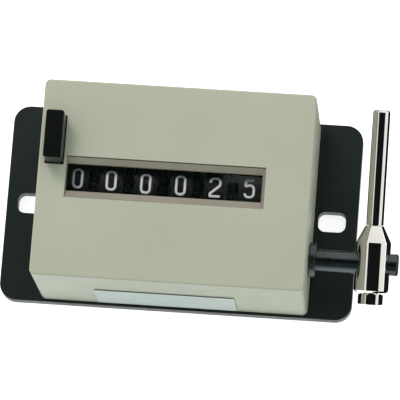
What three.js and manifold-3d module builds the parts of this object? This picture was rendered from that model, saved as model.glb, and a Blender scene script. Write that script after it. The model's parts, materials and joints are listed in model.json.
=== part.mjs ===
// Six-figure stroke counter with a side lever and a reset key, lying on the back of its base plate.
// Lengths are in millimetres and angles in degrees. X runs to the lever side, Y runs along the lever
// at rest, and Z comes out of the window. The origin is the middle of the base plate's rear face.

import * as THREE from 'three';
import { mergeVertices } from 'three/addons/utils/BufferGeometryUtils.js';
import Module from 'manifold-3d';

const wasm = await Module();
wasm.setup();

// Driving dimensions: base plate, which shows below the cover and beside it
const plate_thickness = 5;
const plate_corner_radius = 6;
const plate_lower_margin = 1;
const ear_length = 15.35;
const slot_inset = 9;
const slot_length = 10;
const slot_width = 7.3;
const slot_corner_radius = 2.6;

// Driving dimensions: cover
const cover_wall = 1.6;
const cover_corner_radius = 2;
const cover_edge_bevel = 0.7;
const boss_radius = 3.2;
const boss_inset = 2.6;
const bush_space = 5.65;
const frame_lower_space = 0.9;
const frame_upper_space = 1.2;

// Driving dimensions: window. The aperture hides a little of the first wheel and clears the last one,
// and the sloping frame round it is widest above and below.
const aperture_height = 9.9;
const aperture_left_reveal = 0.8;
const aperture_right_reveal = 0.4;
const aperture_rise = 0.15;
const bezel_left = 0.2;
const bezel_right = 1;
const bezel_below = 2.6;
const bezel_above = 2.1;
const bezel_depth = 1.25;
const bezel_step_down = 0.4;
const bezel_lip = 0.15;
const bezel_flange_lap = 0.9;
const bezel_pocket_wall = 0.7;
const bezel_flange_thickness = 2.8;
const bezel_web = 1;
const lens_thickness = 1.2;
const lens_lap = 0.5;

// Driving dimensions: number wheels and their gearing
const wheel_count = 6;
const wheel_radius = 15;
const wheel_width = 8.3;
const wheel_gap = 0.58;
const wheel_window_gap = 0.8;
const wheel_foot_space = 6.7;
const wheel_axle_radius = 2.5;
const wheel_sides = 40;
const wheel_hub_wall = 1.5;
const wheel_rim_wall = 1.37;
const ring_teeth = 20;
const ring_width = 2;
const cam_width = 1.4;
const cam_low_radius = 4.6;
const cam_peak_gap = 0.58;
const recess_depth = 5;
const pinion_teeth = 8;
const pinion_axle_space = 1.5;
const pinion_direction = -35;
const pinion_axle_radius = 1;
const pinion_side_gap = 0.34;

// Driving dimensions: side plates, tie bars and the rings that hold the axles
const side_plate_thickness = 1.5;
const side_plate_corner = 4;
const frame_below_shaft = 8;
const frame_above_reset_shaft = 2.7;
const frame_front_rise = 6.5;
const foot_length = 9;
const foot_thickness = 2.5;
const tie_bar_radius = 2;
const tie_spigot_radius = 1.3;
const front_tie_gap = 0.63;
const front_tie_direction = 121.6;
const ring_thickness = 0.8;
const ring_width_radial = 0.9;
const ring_groove_depth = 0.5;
const axle_end_length = 0.5;

// Driving dimensions: drive shaft, lever and clamp
const shaft_wheel_space = 4.5;
const shaft_behind_axle = 3.5;
const shaft_outer_radius = 3.9;
const shaft_inner_radius = 3;
const shaft_end_length = 3.1;
const shaft_end_chamfer = 0.6;
const bush_neck_wall = 0.8;
const bush_shoulder = 0.3;
const bush_flange_lap = 1;
const bush_flange_thickness = 2.3;
const lever_stand_off = 22.65;
const hub_radius = 6.1;
const hub_below = 10.1;
const hub_above = 7.6;
const hub_cone_height = 6.2;
const hub_cone_lip = 0.4;
const hub_chamfer = 0.7;
const rod_radius = 3;
const rod_reach = 54.5;
const rod_end_round = 0.8;
const rod_spigot_radius = 2;
const rod_spigot_length = 4.6;
const lever_lean_angle = 14;
const screw_head_across_flats = 8;
const screw_head_height = 3.9;
const screw_head_chamfer = 0.5;
const clamp_thread_radius = 2.4;
const washer_gap = 0.4;

// Driving dimensions: drive from the shaft to the ratchet on the units wheel
const segment_teeth = 20;
const gear_teeth = 25;
const gear_width = 2.2;
const gear_hub_wall = 1.3;
const segment_hub_wall = 1.8;
const segment_first_tooth = -3;
const segment_last_tooth = 1;
const segment_pin_radius = 0.8;
const segment_pin_edge = 0.5;
const ratchet_teeth = 10;
const ratchet_width = 2.2;
const ratchet_tip_radius = 7;
const ratchet_root_radius = 5.4;
const pawl_pivot_gap = 0.4;
const pawl_pivot_lead = 55;
const pawl_pin_radius = 0.9;
const pawl_boss_radius = 1.6;
const pawl_width = 2;
const pawl_post_lead = 84;
const pawl_post_pin_radius = 0.6;
const pawl_spring_thickness = 0.4;
const detent_lead = 3;
const pawl_teeth_ahead = 4;
const detent_arm_width = 1.6;
const detent_boss_wall = 0.7;
const detent_nose_width = 1.2;
const detent_nose_height = 0.5;

// Driving dimensions: reset key, its shaft and the hammers
const key_width = 6;
const key_height = 17.1;
const key_reach = 9.5;
const key_corner_radius = 0.8;
const key_edge_bevel = 0.5;
const key_side_space = 0.45;
const key_flange_side_lap = 0.3;
const key_flange_thickness = 1.8;
const key_flange_lap = 1.3;
const key_travel = 6;
const stem_thickness = 2;
const stem_side_inset = 0.1;
const stem_plate_gap = 0.6;
const stem_shoulder = 0.75;
const stem_leg_width = 4.3;
const stem_leg_below_stud = 3.3;
const stem_crank_gap = 1.3;
const stem_ring_gap = 1.8;
const guide_stud_radius = 1.1;
const guide_stud_below_shaft = 2.5;
const reset_wheel_space = 8.5;
const reset_before_axle = 0.5;
const reset_shaft_radius = 1.5;
const reset_turn = 30;
const crank_rise = 15;
const crank_hub_wall = 0.7;
const crank_tip_radius = 1.5;
const crank_width = 1.8;
const hammer_rise = 45;
const hammer_hub_wall = 1;
const hammer_tip_radius = 1.2;
const hammer_width = 1;
const hammer_side_gap = 0.38;

// Driving dimensions: springs wound from round wire
const lever_wire_radius = 0.4;
const lever_coil_gap = 0.35;
const lever_coil_length = 4.6;
const lever_coil_turns = 3.5;
const reset_wire_radius = 0.3;
const reset_coil_gap = 0.5;
const reset_coil_length = 3.8;
const reset_coil_turns = 3.5;
const detent_wire_radius = 0.25;
const detent_coil_gap = 0.5;
const detent_coil_length = 2.4;
const detent_coil_turns = 2.5;
const wire_sides = 5;
const wire_steps_per_turn = 8;

// Driving dimensions: screws from behind and the bare label
const screw_radius = 1.4;
const screw_head_radius = 2.8;
const screw_head_depth = 1.8;
const screw_head_sink = 0.2;
const screw_drive_radius = 1.1;
const screw_drive_depth = 0.9;
const cover_screw_length = 14;
const cover_screw_bore_space = 2.1;
const frame_screw_spread = 38;
const frame_screw_inset = 5.2;
const label_width = 50;
const label_height = 22;
const label_thickness = 0.3;
const label_shift = 2;
const label_rise = 2.2;

// Driving dimensions: shape of all gear teeth
const pressure_angle = 20;
const tooth_thickness_share = 0.43;
const addendum_share = 0.85;
const dedendum_share = 1.2;

// Clearances and making allowances
const seat_gap = 0.3;
const running_gap = 0.2;
const label_gap = 0.1;
const overrun = 1;
const merge_tolerance = 0.0001;

// Facets round a full circle: on what shows, on the running parts inside, and on small bores
const fine_sides = 32;
const round_sides = 24;
const plain_sides = 16;
const small_sides = 12;
const hexagon_sides = 6;

// Steps round one corner, along one bevelled edge and round the end of an arm
const corner_steps = 6;
const edge_steps = 2;
const arm_end_steps = 6;

// Sizes that follow from what they hold
const wheel_pitch = wheel_width + ring_width + cam_width + wheel_gap;
const wheels_length = (wheel_count - 1) * wheel_pitch + wheel_width;
const pinion_distance = wheel_radius + pinion_axle_space;
const carry_module = (2 * pinion_distance) / (ring_teeth + pinion_teeth);
const pinion_tip_radius = (pinion_teeth * carry_module) / 2 + addendum_share * carry_module;
const cam_high_radius = pinion_distance - pinion_tip_radius - cam_peak_gap;
const pinion_width = wheel_pitch - wheel_width - 2 * pinion_side_gap;
const recess_inner_radius = wheel_axle_radius + running_gap + wheel_hub_wall;
const ring_root_radius = (ring_teeth * carry_module) / 2 - dedendum_share * carry_module;
const recess_outer_radius = ring_root_radius - wheel_rim_wall;
const gear_hub_radius = wheel_axle_radius + running_gap + gear_hub_wall;
const segment_hub_radius = shaft_inner_radius + running_gap + segment_hub_wall;
const drive_hub_length = 2 * (segment_pin_radius + running_gap + segment_pin_edge);
const bush_neck_radius = shaft_outer_radius + running_gap + bush_neck_wall;
const bush_radius = bush_neck_radius + bush_shoulder;
const bush_flange_radius = bush_radius + bush_flange_lap;
const hub_cone_radius = rod_radius + hub_cone_lip;
const hub_cone_top = hub_above + hub_cone_height;
const pawl_pivot_radius = ratchet_tip_radius + pawl_pivot_gap + pawl_boss_radius;
const detent_boss_radius = tie_bar_radius + running_gap + detent_boss_wall;
const crank_hub_radius = reset_shaft_radius + running_gap + crank_hub_wall;
const hammer_hub_radius = reset_shaft_radius + running_gap + hammer_hub_wall;
const lever_coil_radius = shaft_inner_radius + lever_coil_gap + lever_wire_radius;
const reset_coil_radius = reset_shaft_radius + reset_coil_gap + reset_wire_radius;
const detent_coil_radius = tie_bar_radius + detent_coil_gap + detent_wire_radius;

// Widths added up from the cover's left side to its right side: the key and its stem, the left side
// plate, the window and wheels, the ratchet and drive gear, the right side plate and the bush
const key_left = cover_wall + key_side_space + key_flange_side_lap;
const key_right = key_left + key_width;
const stem_left = key_left + stem_side_inset;
const left_plate_left = stem_left + stem_thickness + stem_plate_gap;
const bezel_flange_left = key_right + seat_gap + label_gap;
const aperture_left = bezel_flange_left + bezel_pocket_wall + running_gap + lens_lap;
const wheels_left = aperture_left - aperture_left_reveal;
const ratchet_left = wheels_left + wheels_length + seat_gap;
const gear_left = ratchet_left + ratchet_width + seat_gap + running_gap;
const right_plate_left = gear_left + gear_width + drive_hub_length + seat_gap;
const cover_width = right_plate_left + side_plate_thickness + bush_space + cover_wall;
const plate_length = cover_width + 2 * ear_length;

// Heights added up from the frame's lower edge to its upper edge
const boss_space = cover_wall + boss_inset + boss_radius;
const shaft_to_axle = wheel_radius + shaft_wheel_space;
const axle_to_reset_shaft = wheel_radius + reset_wheel_space;
const frame_height = frame_below_shaft + shaft_to_axle + axle_to_reset_shaft + frame_above_reset_shaft;
const cover_height = frame_height + frame_lower_space + frame_upper_space + 2 * boss_space;
const plate_height = cover_height + plate_lower_margin;
const cover_rise = plate_lower_margin / 2;

// Places across the counter
const cover_side_x = cover_width / 2;
const cover_inner_x = cover_side_x - cover_wall;
const key_low_x = key_left - cover_side_x;
const key_high_x = key_right - cover_side_x;
const key_stem_x = stem_left - cover_side_x;
const left_plate_x = left_plate_left - cover_side_x;
const left_plate_inner_x = left_plate_x + side_plate_thickness;
const first_wheel_x = wheels_left + wheel_width / 2 - cover_side_x;
const wheel_centres = Array.from({ length: wheel_count }, (_, i) => first_wheel_x + i * wheel_pitch);
const ratchet_x = ratchet_left - cover_side_x;
const ratchet_end_x = ratchet_x + ratchet_width;
const gear_x = gear_left - cover_side_x;
const gear_end_x = gear_x + gear_width;
const pawl_end_x = gear_x - seat_gap;
const pawl_x = pawl_end_x - pawl_width;
const right_plate_x = right_plate_left - cover_side_x;
const right_plate_outer_x = right_plate_x + side_plate_thickness;
const hub_end_x = right_plate_x - seat_gap;
const bush_inner_x = right_plate_outer_x + seat_gap;
const bush_flange_x = cover_side_x + seat_gap;
const lever_x = cover_side_x + lever_stand_off;
const shaft_end_x = lever_x + hub_radius + shaft_end_length;

// Places up from the base plate: the feet of the side plates, the wheels, the window and the cover
const cover_rear_z = plate_thickness + seat_gap;
const wheel_axle_z = cover_rear_z + foot_thickness + wheel_foot_space + wheel_radius;
const bezel_rear_z = wheel_axle_z + wheel_radius + wheel_window_gap;
const bezel_seat_z = bezel_rear_z + bezel_flange_thickness;
const cover_inner_z = bezel_seat_z + seat_gap;
const cover_front_z = cover_inner_z + cover_wall;
const cover_depth = cover_front_z - cover_rear_z;
const bezel_front_z = cover_front_z - bezel_step_down;
const shaft_z = wheel_axle_z - shaft_behind_axle;
const reset_shaft_z = wheel_axle_z + reset_before_axle;
const side_plate_front_z = wheel_axle_z + frame_front_rise;
const tie_bar_z = cover_rear_z + foot_thickness + seat_gap + detent_boss_radius;

// Places along the lever
const cover_inner_y = cover_height / 2 - cover_wall;
const side_plate_low_y = cover_rise - cover_height / 2 + boss_space + frame_lower_space;
const side_plate_high_y = side_plate_low_y + frame_height;
const shaft_y = side_plate_low_y + frame_below_shaft;
const wheel_axle_y = shaft_y + shaft_to_axle;
const reset_shaft_y = wheel_axle_y + axle_to_reset_shaft;
const lower_tie_y = shaft_y - lever_coil_radius + lever_wire_radius + lever_coil_gap + tie_bar_radius;
const upper_tie_y = reset_shaft_y + reset_coil_radius - reset_wire_radius - seat_gap - tie_bar_radius;
const cover_screw_x = cover_inner_x - boss_inset;
const cover_screw_y = cover_inner_y - boss_inset;

// The front tie bar lies just clear of the segment's hub
const front_tie_distance = segment_hub_radius + front_tie_gap + tie_bar_radius;
const front_tie_y = shaft_y + front_tie_distance * cosine(front_tie_direction);
const front_tie_z = shaft_z + front_tie_distance * sine(front_tie_direction);

// Gear centres, directions and sizes between them
const drive_distance = Math.hypot(wheel_axle_y - shaft_y, wheel_axle_z - shaft_z);
const drive_direction = degrees(Math.atan2(wheel_axle_z - shaft_z, wheel_axle_y - shaft_y));
const drive_module = (2 * drive_distance) / (segment_teeth + gear_teeth);
const pinion_axle_y = wheel_axle_y + pinion_distance * cosine(pinion_direction);
const pinion_axle_z = wheel_axle_z + pinion_distance * sine(pinion_direction);
const detent_distance = Math.hypot(wheel_axle_z - tie_bar_z, wheel_axle_y - lower_tie_y);
const detent_bearing = degrees(Math.atan2(wheel_axle_z - tie_bar_z, wheel_axle_y - lower_tie_y));
const detent_offset = ratchet_tip_radius + seat_gap + detent_nose_height + detent_arm_width / 2;
const detent_heading = detent_bearing - degrees(Math.asin(detent_offset / detent_distance));
const detent_reach = Math.sqrt(detent_distance ** 2 - detent_offset ** 2);
const ratchet_step = 360 / ratchet_teeth;
const pawl_direction = detent_heading - 90 - detent_lead + pawl_teeth_ahead * ratchet_step;

// The hammers swing down until their tips stand just off the highest point of the heart cams
const hammer_end_direction = 180 - hammer_rise + reset_turn;
const hammer_tip_distance = cam_high_radius + seat_gap + hammer_tip_radius;
const hammer_lean = -axle_to_reset_shaft * cosine(hammer_end_direction)
  - reset_before_axle * sine(hammer_end_direction);
const hammer_reach = hammer_lean - Math.sqrt(
  hammer_lean ** 2 + hammer_tip_distance ** 2 - axle_to_reset_shaft ** 2 - reset_before_axle ** 2,
);

// The stem's leg runs on a stud beside the wheel axle's ring, and the crank's tip lies under the stem
const stem_ring_space = wheel_axle_radius + ring_width_radial + stem_ring_gap;
const guide_stud_y = wheel_axle_y + stem_ring_space + stem_leg_width / 2;
const guide_stud_z = reset_shaft_z - guide_stud_below_shaft;
const crank_tip_y = guide_stud_y + stem_leg_width / 2 + stem_crank_gap + crank_tip_radius;
const crank_reach = (reset_shaft_y - crank_tip_y) / cosine(crank_rise);
const crank_tip_z = reset_shaft_z + crank_reach * sine(crank_rise);
const stem_low_y = guide_stud_y - stem_leg_width / 2;
const stem_high_y = crank_tip_y + seat_gap;
const key_low_y = stem_low_y - stem_shoulder;

// Finishes as seen in the photograph
const cover_enamel = { color: 0xb2b4a0, roughness: 0.45, metalness: 0 };
const plate_lacquer = { color: 0x1e2424, roughness: 0.4, metalness: 0 };
const bezel_plastic = { color: 0x9b948a, roughness: 0.5, metalness: 0 };
const clear_plastic = { color: 0xe8eef0, roughness: 0.05, metalness: 0, transparent: true, opacity: 0.25 };
const black_plastic = { color: 0x0e1214, roughness: 0.45, metalness: 0 };
const white_plastic = { color: 0xd8d8d0, roughness: 0.5, metalness: 0 };
const nickel = { color: 0xc8c6be, roughness: 0.12, metalness: 1 };
const dark_steel = { color: 0x2c2e30, roughness: 0.35, metalness: 1 };
const bright_steel = { color: 0xa8aaac, roughness: 0.3, metalness: 1 };
const brass = { color: 0xb9954c, roughness: 0.35, metalness: 1 };
const label_foil = { color: 0xd9dfdc, roughness: 0.4, metalness: 0 };

// Angle helpers
function radians(angle) {
  return (angle * Math.PI) / 180;
}

function degrees(angle) {
  return (angle * 180) / Math.PI;
}

function cosine(angle) {
  return Math.cos(radians(angle));
}

function sine(angle) {
  return Math.sin(radians(angle));
}

// A point at a radius and direction from a centre in a plane
function polar(radius, angle, centre_u = 0, centre_v = 0) {
  return new THREE.Vector2(centre_u + radius * cosine(angle), centre_v + radius * sine(angle));
}

// A closed solid from a three.js geometry
function solid(geometry) {
  const bare = geometry.clone();
  bare.deleteAttribute('normal');
  bare.deleteAttribute('uv');
  const merged = mergeVertices(bare, merge_tolerance);
  const triangles = [];
  const index = merged.index.array;
  for (let i = 0; i < index.length; i += 3) {
    const [a, b, c] = [index[i], index[i + 1], index[i + 2]];
    if (a !== b && b !== c && c !== a) triangles.push(a, b, c);
  }
  return new wasm.Manifold(new wasm.Mesh({
    numProp: 3,
    vertProperties: new Float32Array(merged.attributes.position.array),
    triVerts: new Uint32Array(triangles),
  }));
}

// Joins and cuts
function join(first, ...others) {
  return others.reduce((whole, other) => whole.add(other), first);
}

function cut(first, ...others) {
  return others.reduce((whole, other) => whole.subtract(other), first);
}

// Outlines
function roundedRectangle(low_u, low_v, high_u, high_v, radius) {
  const shape = new THREE.Shape();
  shape.moveTo(low_u + radius, low_v);
  shape.lineTo(high_u - radius, low_v);
  shape.absarc(high_u - radius, low_v + radius, radius, radians(-90), 0, false);
  shape.lineTo(high_u, high_v - radius);
  shape.absarc(high_u - radius, high_v - radius, radius, 0, radians(90), false);
  shape.lineTo(low_u + radius, high_v);
  shape.absarc(low_u + radius, high_v - radius, radius, radians(90), radians(180), false);
  shape.lineTo(low_u, low_v + radius);
  shape.absarc(low_u + radius, low_v + radius, radius, radians(180), radians(270), false);
  return shape;
}

function polygon(points) {
  return new THREE.Shape(points);
}

// An arm with round ends between two points, as a hull of two circles
function armOutline(start_u, start_v, start_radius, end_u, end_v, end_radius) {
  const reach = Math.hypot(end_u - start_u, end_v - start_v);
  const heading = degrees(Math.atan2(end_v - start_v, end_u - start_u));
  const lean = degrees(Math.acos((start_radius - end_radius) / reach));
  const points = [];
  for (let i = 0; i <= arm_end_steps; i += 1) {
    const step_share = i / arm_end_steps;
    points.push(polar(end_radius, heading - lean + 2 * lean * step_share, end_u, end_v));
  }
  for (let i = 0; i <= arm_end_steps; i += 1) {
    const step_share = i / arm_end_steps;
    const angle = heading + lean + (360 - 2 * lean) * step_share;
    points.push(polar(start_radius, angle, start_u, start_v));
  }
  return polygon(points);
}

// Solids swept along an axis
function alongZ(shape, from_z, to_z) {
  const geometry = new THREE.ExtrudeGeometry(shape, {
    depth: to_z - from_z,
    bevelEnabled: false,
    curveSegments: corner_steps,
  });
  geometry.translate(0, 0, from_z);
  return solid(geometry);
}

const turn_to_x = new THREE.Matrix4().makeBasis(
  new THREE.Vector3(0, 1, 0),
  new THREE.Vector3(0, 0, 1),
  new THREE.Vector3(1, 0, 0),
);

function alongX(shape, from_x, to_x) {
  const geometry = new THREE.ExtrudeGeometry(shape, {
    depth: to_x - from_x,
    bevelEnabled: false,
    curveSegments: corner_steps,
  });
  geometry.applyMatrix4(turn_to_x);
  geometry.translate(from_x, 0, 0);
  return solid(geometry);
}

function cylinderX(radius, y, z, from_x, to_x, sides = plain_sides) {
  const geometry = new THREE.CylinderGeometry(radius, radius, to_x - from_x, sides);
  geometry.rotateZ(radians(-90));
  geometry.translate((from_x + to_x) / 2, y, z);
  return solid(geometry);
}

function cylinderY(radius, x, z, from_y, to_y, sides = plain_sides) {
  const geometry = new THREE.CylinderGeometry(radius, radius, to_y - from_y, sides);
  geometry.translate(x, (from_y + to_y) / 2, z);
  return solid(geometry);
}

function cylinderZ(radius, x, y, from_z, to_z, sides = small_sides) {
  const geometry = new THREE.CylinderGeometry(radius, radius, to_z - from_z, sides);
  geometry.rotateX(radians(90));
  geometry.translate(x, y, (from_z + to_z) / 2);
  return solid(geometry);
}

function block(low_x, high_x, low_y, high_y, low_z, high_z) {
  const geometry = new THREE.BoxGeometry(high_x - low_x, high_y - low_y, high_z - low_z);
  geometry.translate((low_x + high_x) / 2, (low_y + high_y) / 2, (low_z + high_z) / 2);
  return solid(geometry);
}

// A turned solid: the profile is a list of [radius, height] pairs, and the axis starts along Y
function turned(profile, sides) {
  const points = profile.map(([radius, height]) => new THREE.Vector2(radius, height));
  return new THREE.LatheGeometry(points, sides);
}

function turnedY(profile, x, z, sides = fine_sides) {
  const geometry = turned(profile, sides);
  geometry.translate(x, 0, z);
  return solid(geometry);
}

function turnedX(profile, y, z, sides = plain_sides) {
  const geometry = turned(profile, sides);
  geometry.rotateZ(radians(-90));
  geometry.translate(0, y, z);
  return solid(geometry);
}

function turnedZ(profile, x, y, sides = small_sides) {
  const geometry = turned(profile, sides);
  geometry.rotateX(radians(90));
  geometry.translate(x, y, 0);
  return solid(geometry);
}

// A solid between two upright rectangles of different size, for sloping walls
function taperedBlock(low, low_z, high, high_z) {
  const corners = [];
  for (const [rectangle, z] of [[low, low_z], [high, high_z]]) {
    corners.push([rectangle.low_x, rectangle.low_y, z], [rectangle.high_x, rectangle.low_y, z]);
    corners.push([rectangle.high_x, rectangle.high_y, z], [rectangle.low_x, rectangle.high_y, z]);
  }
  const faces = [0, 2, 1, 0, 3, 2, 4, 5, 6, 4, 6, 7];
  for (let i = 0; i < 4; i += 1) {
    const next = (i + 1) % 4;
    faces.push(i, next, next + 4, i, next + 4, i + 4);
  }
  const geometry = new THREE.BufferGeometry();
  geometry.setAttribute('position', new THREE.Float32BufferAttribute(corners.flat(), 3));
  geometry.setIndex(faces);
  return solid(geometry);
}

function blockOver(rectangle, low_z, high_z) {
  return block(rectangle.low_x, rectangle.high_x, rectangle.low_y, rectangle.high_y, low_z, high_z);
}

// A ring with a bore, such as a retaining ring
function ringX(outer_radius, inner_radius, y, z, from_x, to_x, sides = plain_sides) {
  return cut(
    cylinderX(outer_radius, y, z, from_x, to_x, sides),
    cylinderX(inner_radius, y, z, from_x - overrun, to_x + overrun, sides),
  );
}

// Involute gear outline with flanks thinned for backlash. Teeth run from first to last around a
// centre, and a part-toothed wheel falls back to its hub between them.
function involute(angle) {
  return degrees(Math.tan(radians(angle)) - radians(angle));
}

function toothHalfAngle(radius, base_radius, teeth) {
  const at_pitch = ((360 / teeth) * tooth_thickness_share) / 2;
  const lean = radius > base_radius ? degrees(Math.acos(base_radius / radius)) : 0;
  return at_pitch + involute(pressure_angle) - involute(lean);
}

function gearOutline(teeth, module_size, centre_y, centre_z, tooth_direction, options = {}) {
  const { first = 0, last = teeth - 1, hub_radius = 0, flank_points = 2 } = options;
  const pitch_radius = (teeth * module_size) / 2;
  const base_radius = pitch_radius * cosine(pressure_angle);
  const tip_radius = pitch_radius + addendum_share * module_size;
  const root_radius = pitch_radius - dedendum_share * module_size;
  const flank = [];
  for (let i = 0; i <= flank_points - 1; i += 1) {
    const radius = root_radius + ((tip_radius - root_radius) * i) / (flank_points - 1);
    flank.push([radius, toothHalfAngle(radius, base_radius, teeth)]);
  }
  const points = [];
  for (let tooth = first; tooth <= last; tooth += 1) {
    const direction = tooth_direction + (360 * tooth) / teeth;
    for (const [radius, half] of flank) {
      points.push(polar(radius, direction - half, centre_y, centre_z));
    }
    for (const [radius, half] of [...flank].reverse()) {
      points.push(polar(radius, direction + half, centre_y, centre_z));
    }
  }
  if (last - first + 1 < teeth) {
    const start = tooth_direction + (360 * (2 * last + 1)) / (2 * teeth);
    const end = tooth_direction + (360 * (2 * first - 1)) / (2 * teeth) + 360;
    points.push(polar(root_radius, start, centre_y, centre_z));
    for (let i = 0; i <= plain_sides; i += 1) {
      points.push(polar(hub_radius, start + ((end - start) * i) / plain_sides, centre_y, centre_z));
    }
    points.push(polar(root_radius, end, centre_y, centre_z));
  }
  return polygon(points);
}

// Wire of a torsion spring wound round an axis along X, with a straight leg at each end
class TorsionWire extends THREE.Curve {
  constructor(wire) {
    super();
    this.wire = wire;
  }

  getPoint(t, target = new THREE.Vector3()) {
    const w = this.wire;
    const coil = 2 * Math.PI * w.radius * w.turns;
    const total = w.first_leg + coil + w.last_leg;
    const run = t * total;
    const along = Math.min(Math.max((run - w.first_leg) / coil, 0), 1);
    const angle = w.start_angle + 360 * w.turns * along;
    const x = w.from_x + w.length * along;
    const point = polar(w.radius, angle, w.y, w.z);
    const before = Math.max(w.first_leg - run, 0);
    const after = Math.max(run - w.first_leg - coil, 0);
    const y = point.x + (before - after) * sine(angle);
    const z = point.y - (before - after) * cosine(angle);
    return target.set(x, y, z);
  }
}

function torsionSpring(wire, wire_radius) {
  const section = new THREE.Shape();
  for (let i = 0; i < wire_sides; i += 1) {
    const corner = polar(wire_radius, (360 * i) / wire_sides);
    if (i === 0) section.moveTo(corner.x, corner.y);
    else section.lineTo(corner.x, corner.y);
  }
  const coil = 2 * Math.PI * wire.radius * wire.turns;
  const steps_per_length = (wire.turns * wire_steps_per_turn) / coil;
  const steps = Math.round((wire.first_leg + coil + wire.last_leg) * steps_per_length);
  const path = new TorsionWire(wire);
  return solid(new THREE.ExtrudeGeometry(section, { steps, extrudePath: path, bevelEnabled: false }));
}

// The finished part gathers its pieces here
const stroke_counter = new THREE.Group();

function piece(name, body, finish) {
  const { vertProperties, triVerts } = body.getMesh();
  const geometry = new THREE.BufferGeometry();
  geometry.setAttribute('position', new THREE.BufferAttribute(new Float32Array(vertProperties), 3));
  geometry.setIndex(new THREE.BufferAttribute(new Uint32Array(triVerts), 1));
  geometry.computeVertexNormals();
  const mesh = new THREE.Mesh(geometry, new THREE.MeshStandardMaterial({ flatShading: true, ...finish }));
  mesh.name = name;
  stroke_counter.add(mesh);
}

// Base plate with two fixing slots and countersunk holes from behind
const cover_screw_places = [[-1, -1], [1, -1], [1, 1], [-1, 1]].map(([side_x, side_y]) => ({
  x: side_x * cover_screw_x,
  y: cover_rise + side_y * cover_screw_y,
}));
const frame_screw_places = [[-1, -1], [1, -1], [1, 1], [-1, 1]].map(([side_x, side_y]) => ({
  x: side_x < 0 ? left_plate_inner_x + frame_screw_inset : right_plate_x - frame_screw_inset,
  y: (side_y * frame_screw_spread) / 2,
}));

const slot_x = plate_length / 2 - slot_inset;

function slotOutline(middle_x) {
  return roundedRectangle(
    middle_x - slot_length / 2,
    -slot_width / 2,
    middle_x + slot_length / 2,
    slot_width / 2,
    slot_corner_radius,
  );
}

function countersunkHole(place) {
  const head = screw_head_radius + running_gap;
  const bore = screw_radius + running_gap;
  const head_depth = screw_head_sink + screw_head_depth;
  return turnedZ([
    [0, -overrun],
    [head, -overrun],
    [head, screw_head_sink],
    [bore, head_depth],
    [bore, plate_thickness + overrun],
    [0, plate_thickness + overrun],
  ], place.x, place.y);
}

function basePlate() {
  const outline = roundedRectangle(
    -plate_length / 2,
    -plate_height / 2,
    plate_length / 2,
    plate_height / 2,
    plate_corner_radius,
  );
  const slots = [-1, 1].map((side) => (
    alongZ(slotOutline(side * slot_x), -overrun, plate_thickness + overrun)
  ));
  const holes = [...cover_screw_places, ...frame_screw_places].map(countersunkHole);
  return cut(alongZ(outline, 0, plate_thickness), ...slots, ...holes);
}

// Deep cover with corner bosses, open at the back
function coverOutline(inset, radius) {
  const half_x = cover_width / 2 - inset;
  const half_y = cover_height / 2 - inset;
  return roundedRectangle(-half_x, cover_rise - half_y, half_x, cover_rise + half_y, radius);
}

function coverOuter() {
  const outline = coverOutline(cover_edge_bevel, cover_corner_radius - cover_edge_bevel);
  const geometry = new THREE.ExtrudeGeometry(outline, {
    depth: cover_depth,
    bevelEnabled: true,
    bevelThickness: cover_edge_bevel,
    bevelSize: cover_edge_bevel,
    bevelSegments: edge_steps,
    curveSegments: corner_steps,
  });
  geometry.translate(0, 0, cover_front_z - cover_depth - cover_edge_bevel);
  const behind = block(
    -cover_width,
    cover_width,
    -cover_height,
    cover_height,
    cover_rear_z - cover_depth,
    cover_rear_z,
  );
  return cut(solid(geometry), behind);
}

const aperture = {
  low_x: aperture_left - cover_side_x,
  high_x: wheels_left + wheels_length + aperture_right_reveal - cover_side_x,
  low_y: wheel_axle_y + aperture_rise - aperture_height / 2,
  high_y: wheel_axle_y + aperture_rise + aperture_height / 2,
};
const opening = {
  low_x: aperture.low_x - bezel_left,
  high_x: aperture.high_x + bezel_right,
  low_y: aperture.low_y - bezel_below,
  high_y: aperture.high_y + bezel_above,
};
const key_outline = {
  low_x: key_low_x,
  high_x: key_high_x,
  low_y: key_low_y,
  high_y: key_low_y + key_height,
};

function grown(rectangle, by) {
  return {
    low_x: rectangle.low_x - by,
    high_x: rectangle.high_x + by,
    low_y: rectangle.low_y - by,
    high_y: rectangle.high_y + by,
  };
}

function cover() {
  const inner_radius = cover_corner_radius - cover_edge_bevel;
  const hollow = alongZ(coverOutline(cover_wall, inner_radius), cover_rear_z - overrun, cover_inner_z);
  const bosses = cover_screw_places.map((place) => (
    cylinderZ(boss_radius, place.x, place.y, cover_rear_z, cover_inner_z + cover_wall / 2)
  ));
  const boss_bores = cover_screw_places.map((place) => (
    cylinderZ(
      screw_radius + running_gap,
      place.x,
      place.y,
      cover_rear_z - overrun,
      screw_head_sink + cover_screw_length + cover_screw_bore_space,
    )
  ));
  const front_cuts = [grown(opening, seat_gap), grown(key_outline, seat_gap)].map((rectangle) => (
    blockOver(rectangle, cover_inner_z - overrun, cover_front_z + overrun)
  ));
  const bush_hole = cylinderX(
    bush_radius + seat_gap,
    shaft_y,
    shaft_z,
    cover_inner_x - overrun,
    cover_side_x + overrun,
    round_sides,
  );
  return cut(join(cut(coverOuter(), hollow), ...bosses), ...boss_bores, ...front_cuts, bush_hole);
}

// Sloping window frame clipped behind the cover wall, with the clear window in its rear pocket
const lens_outline = grown(aperture, lens_lap);

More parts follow.
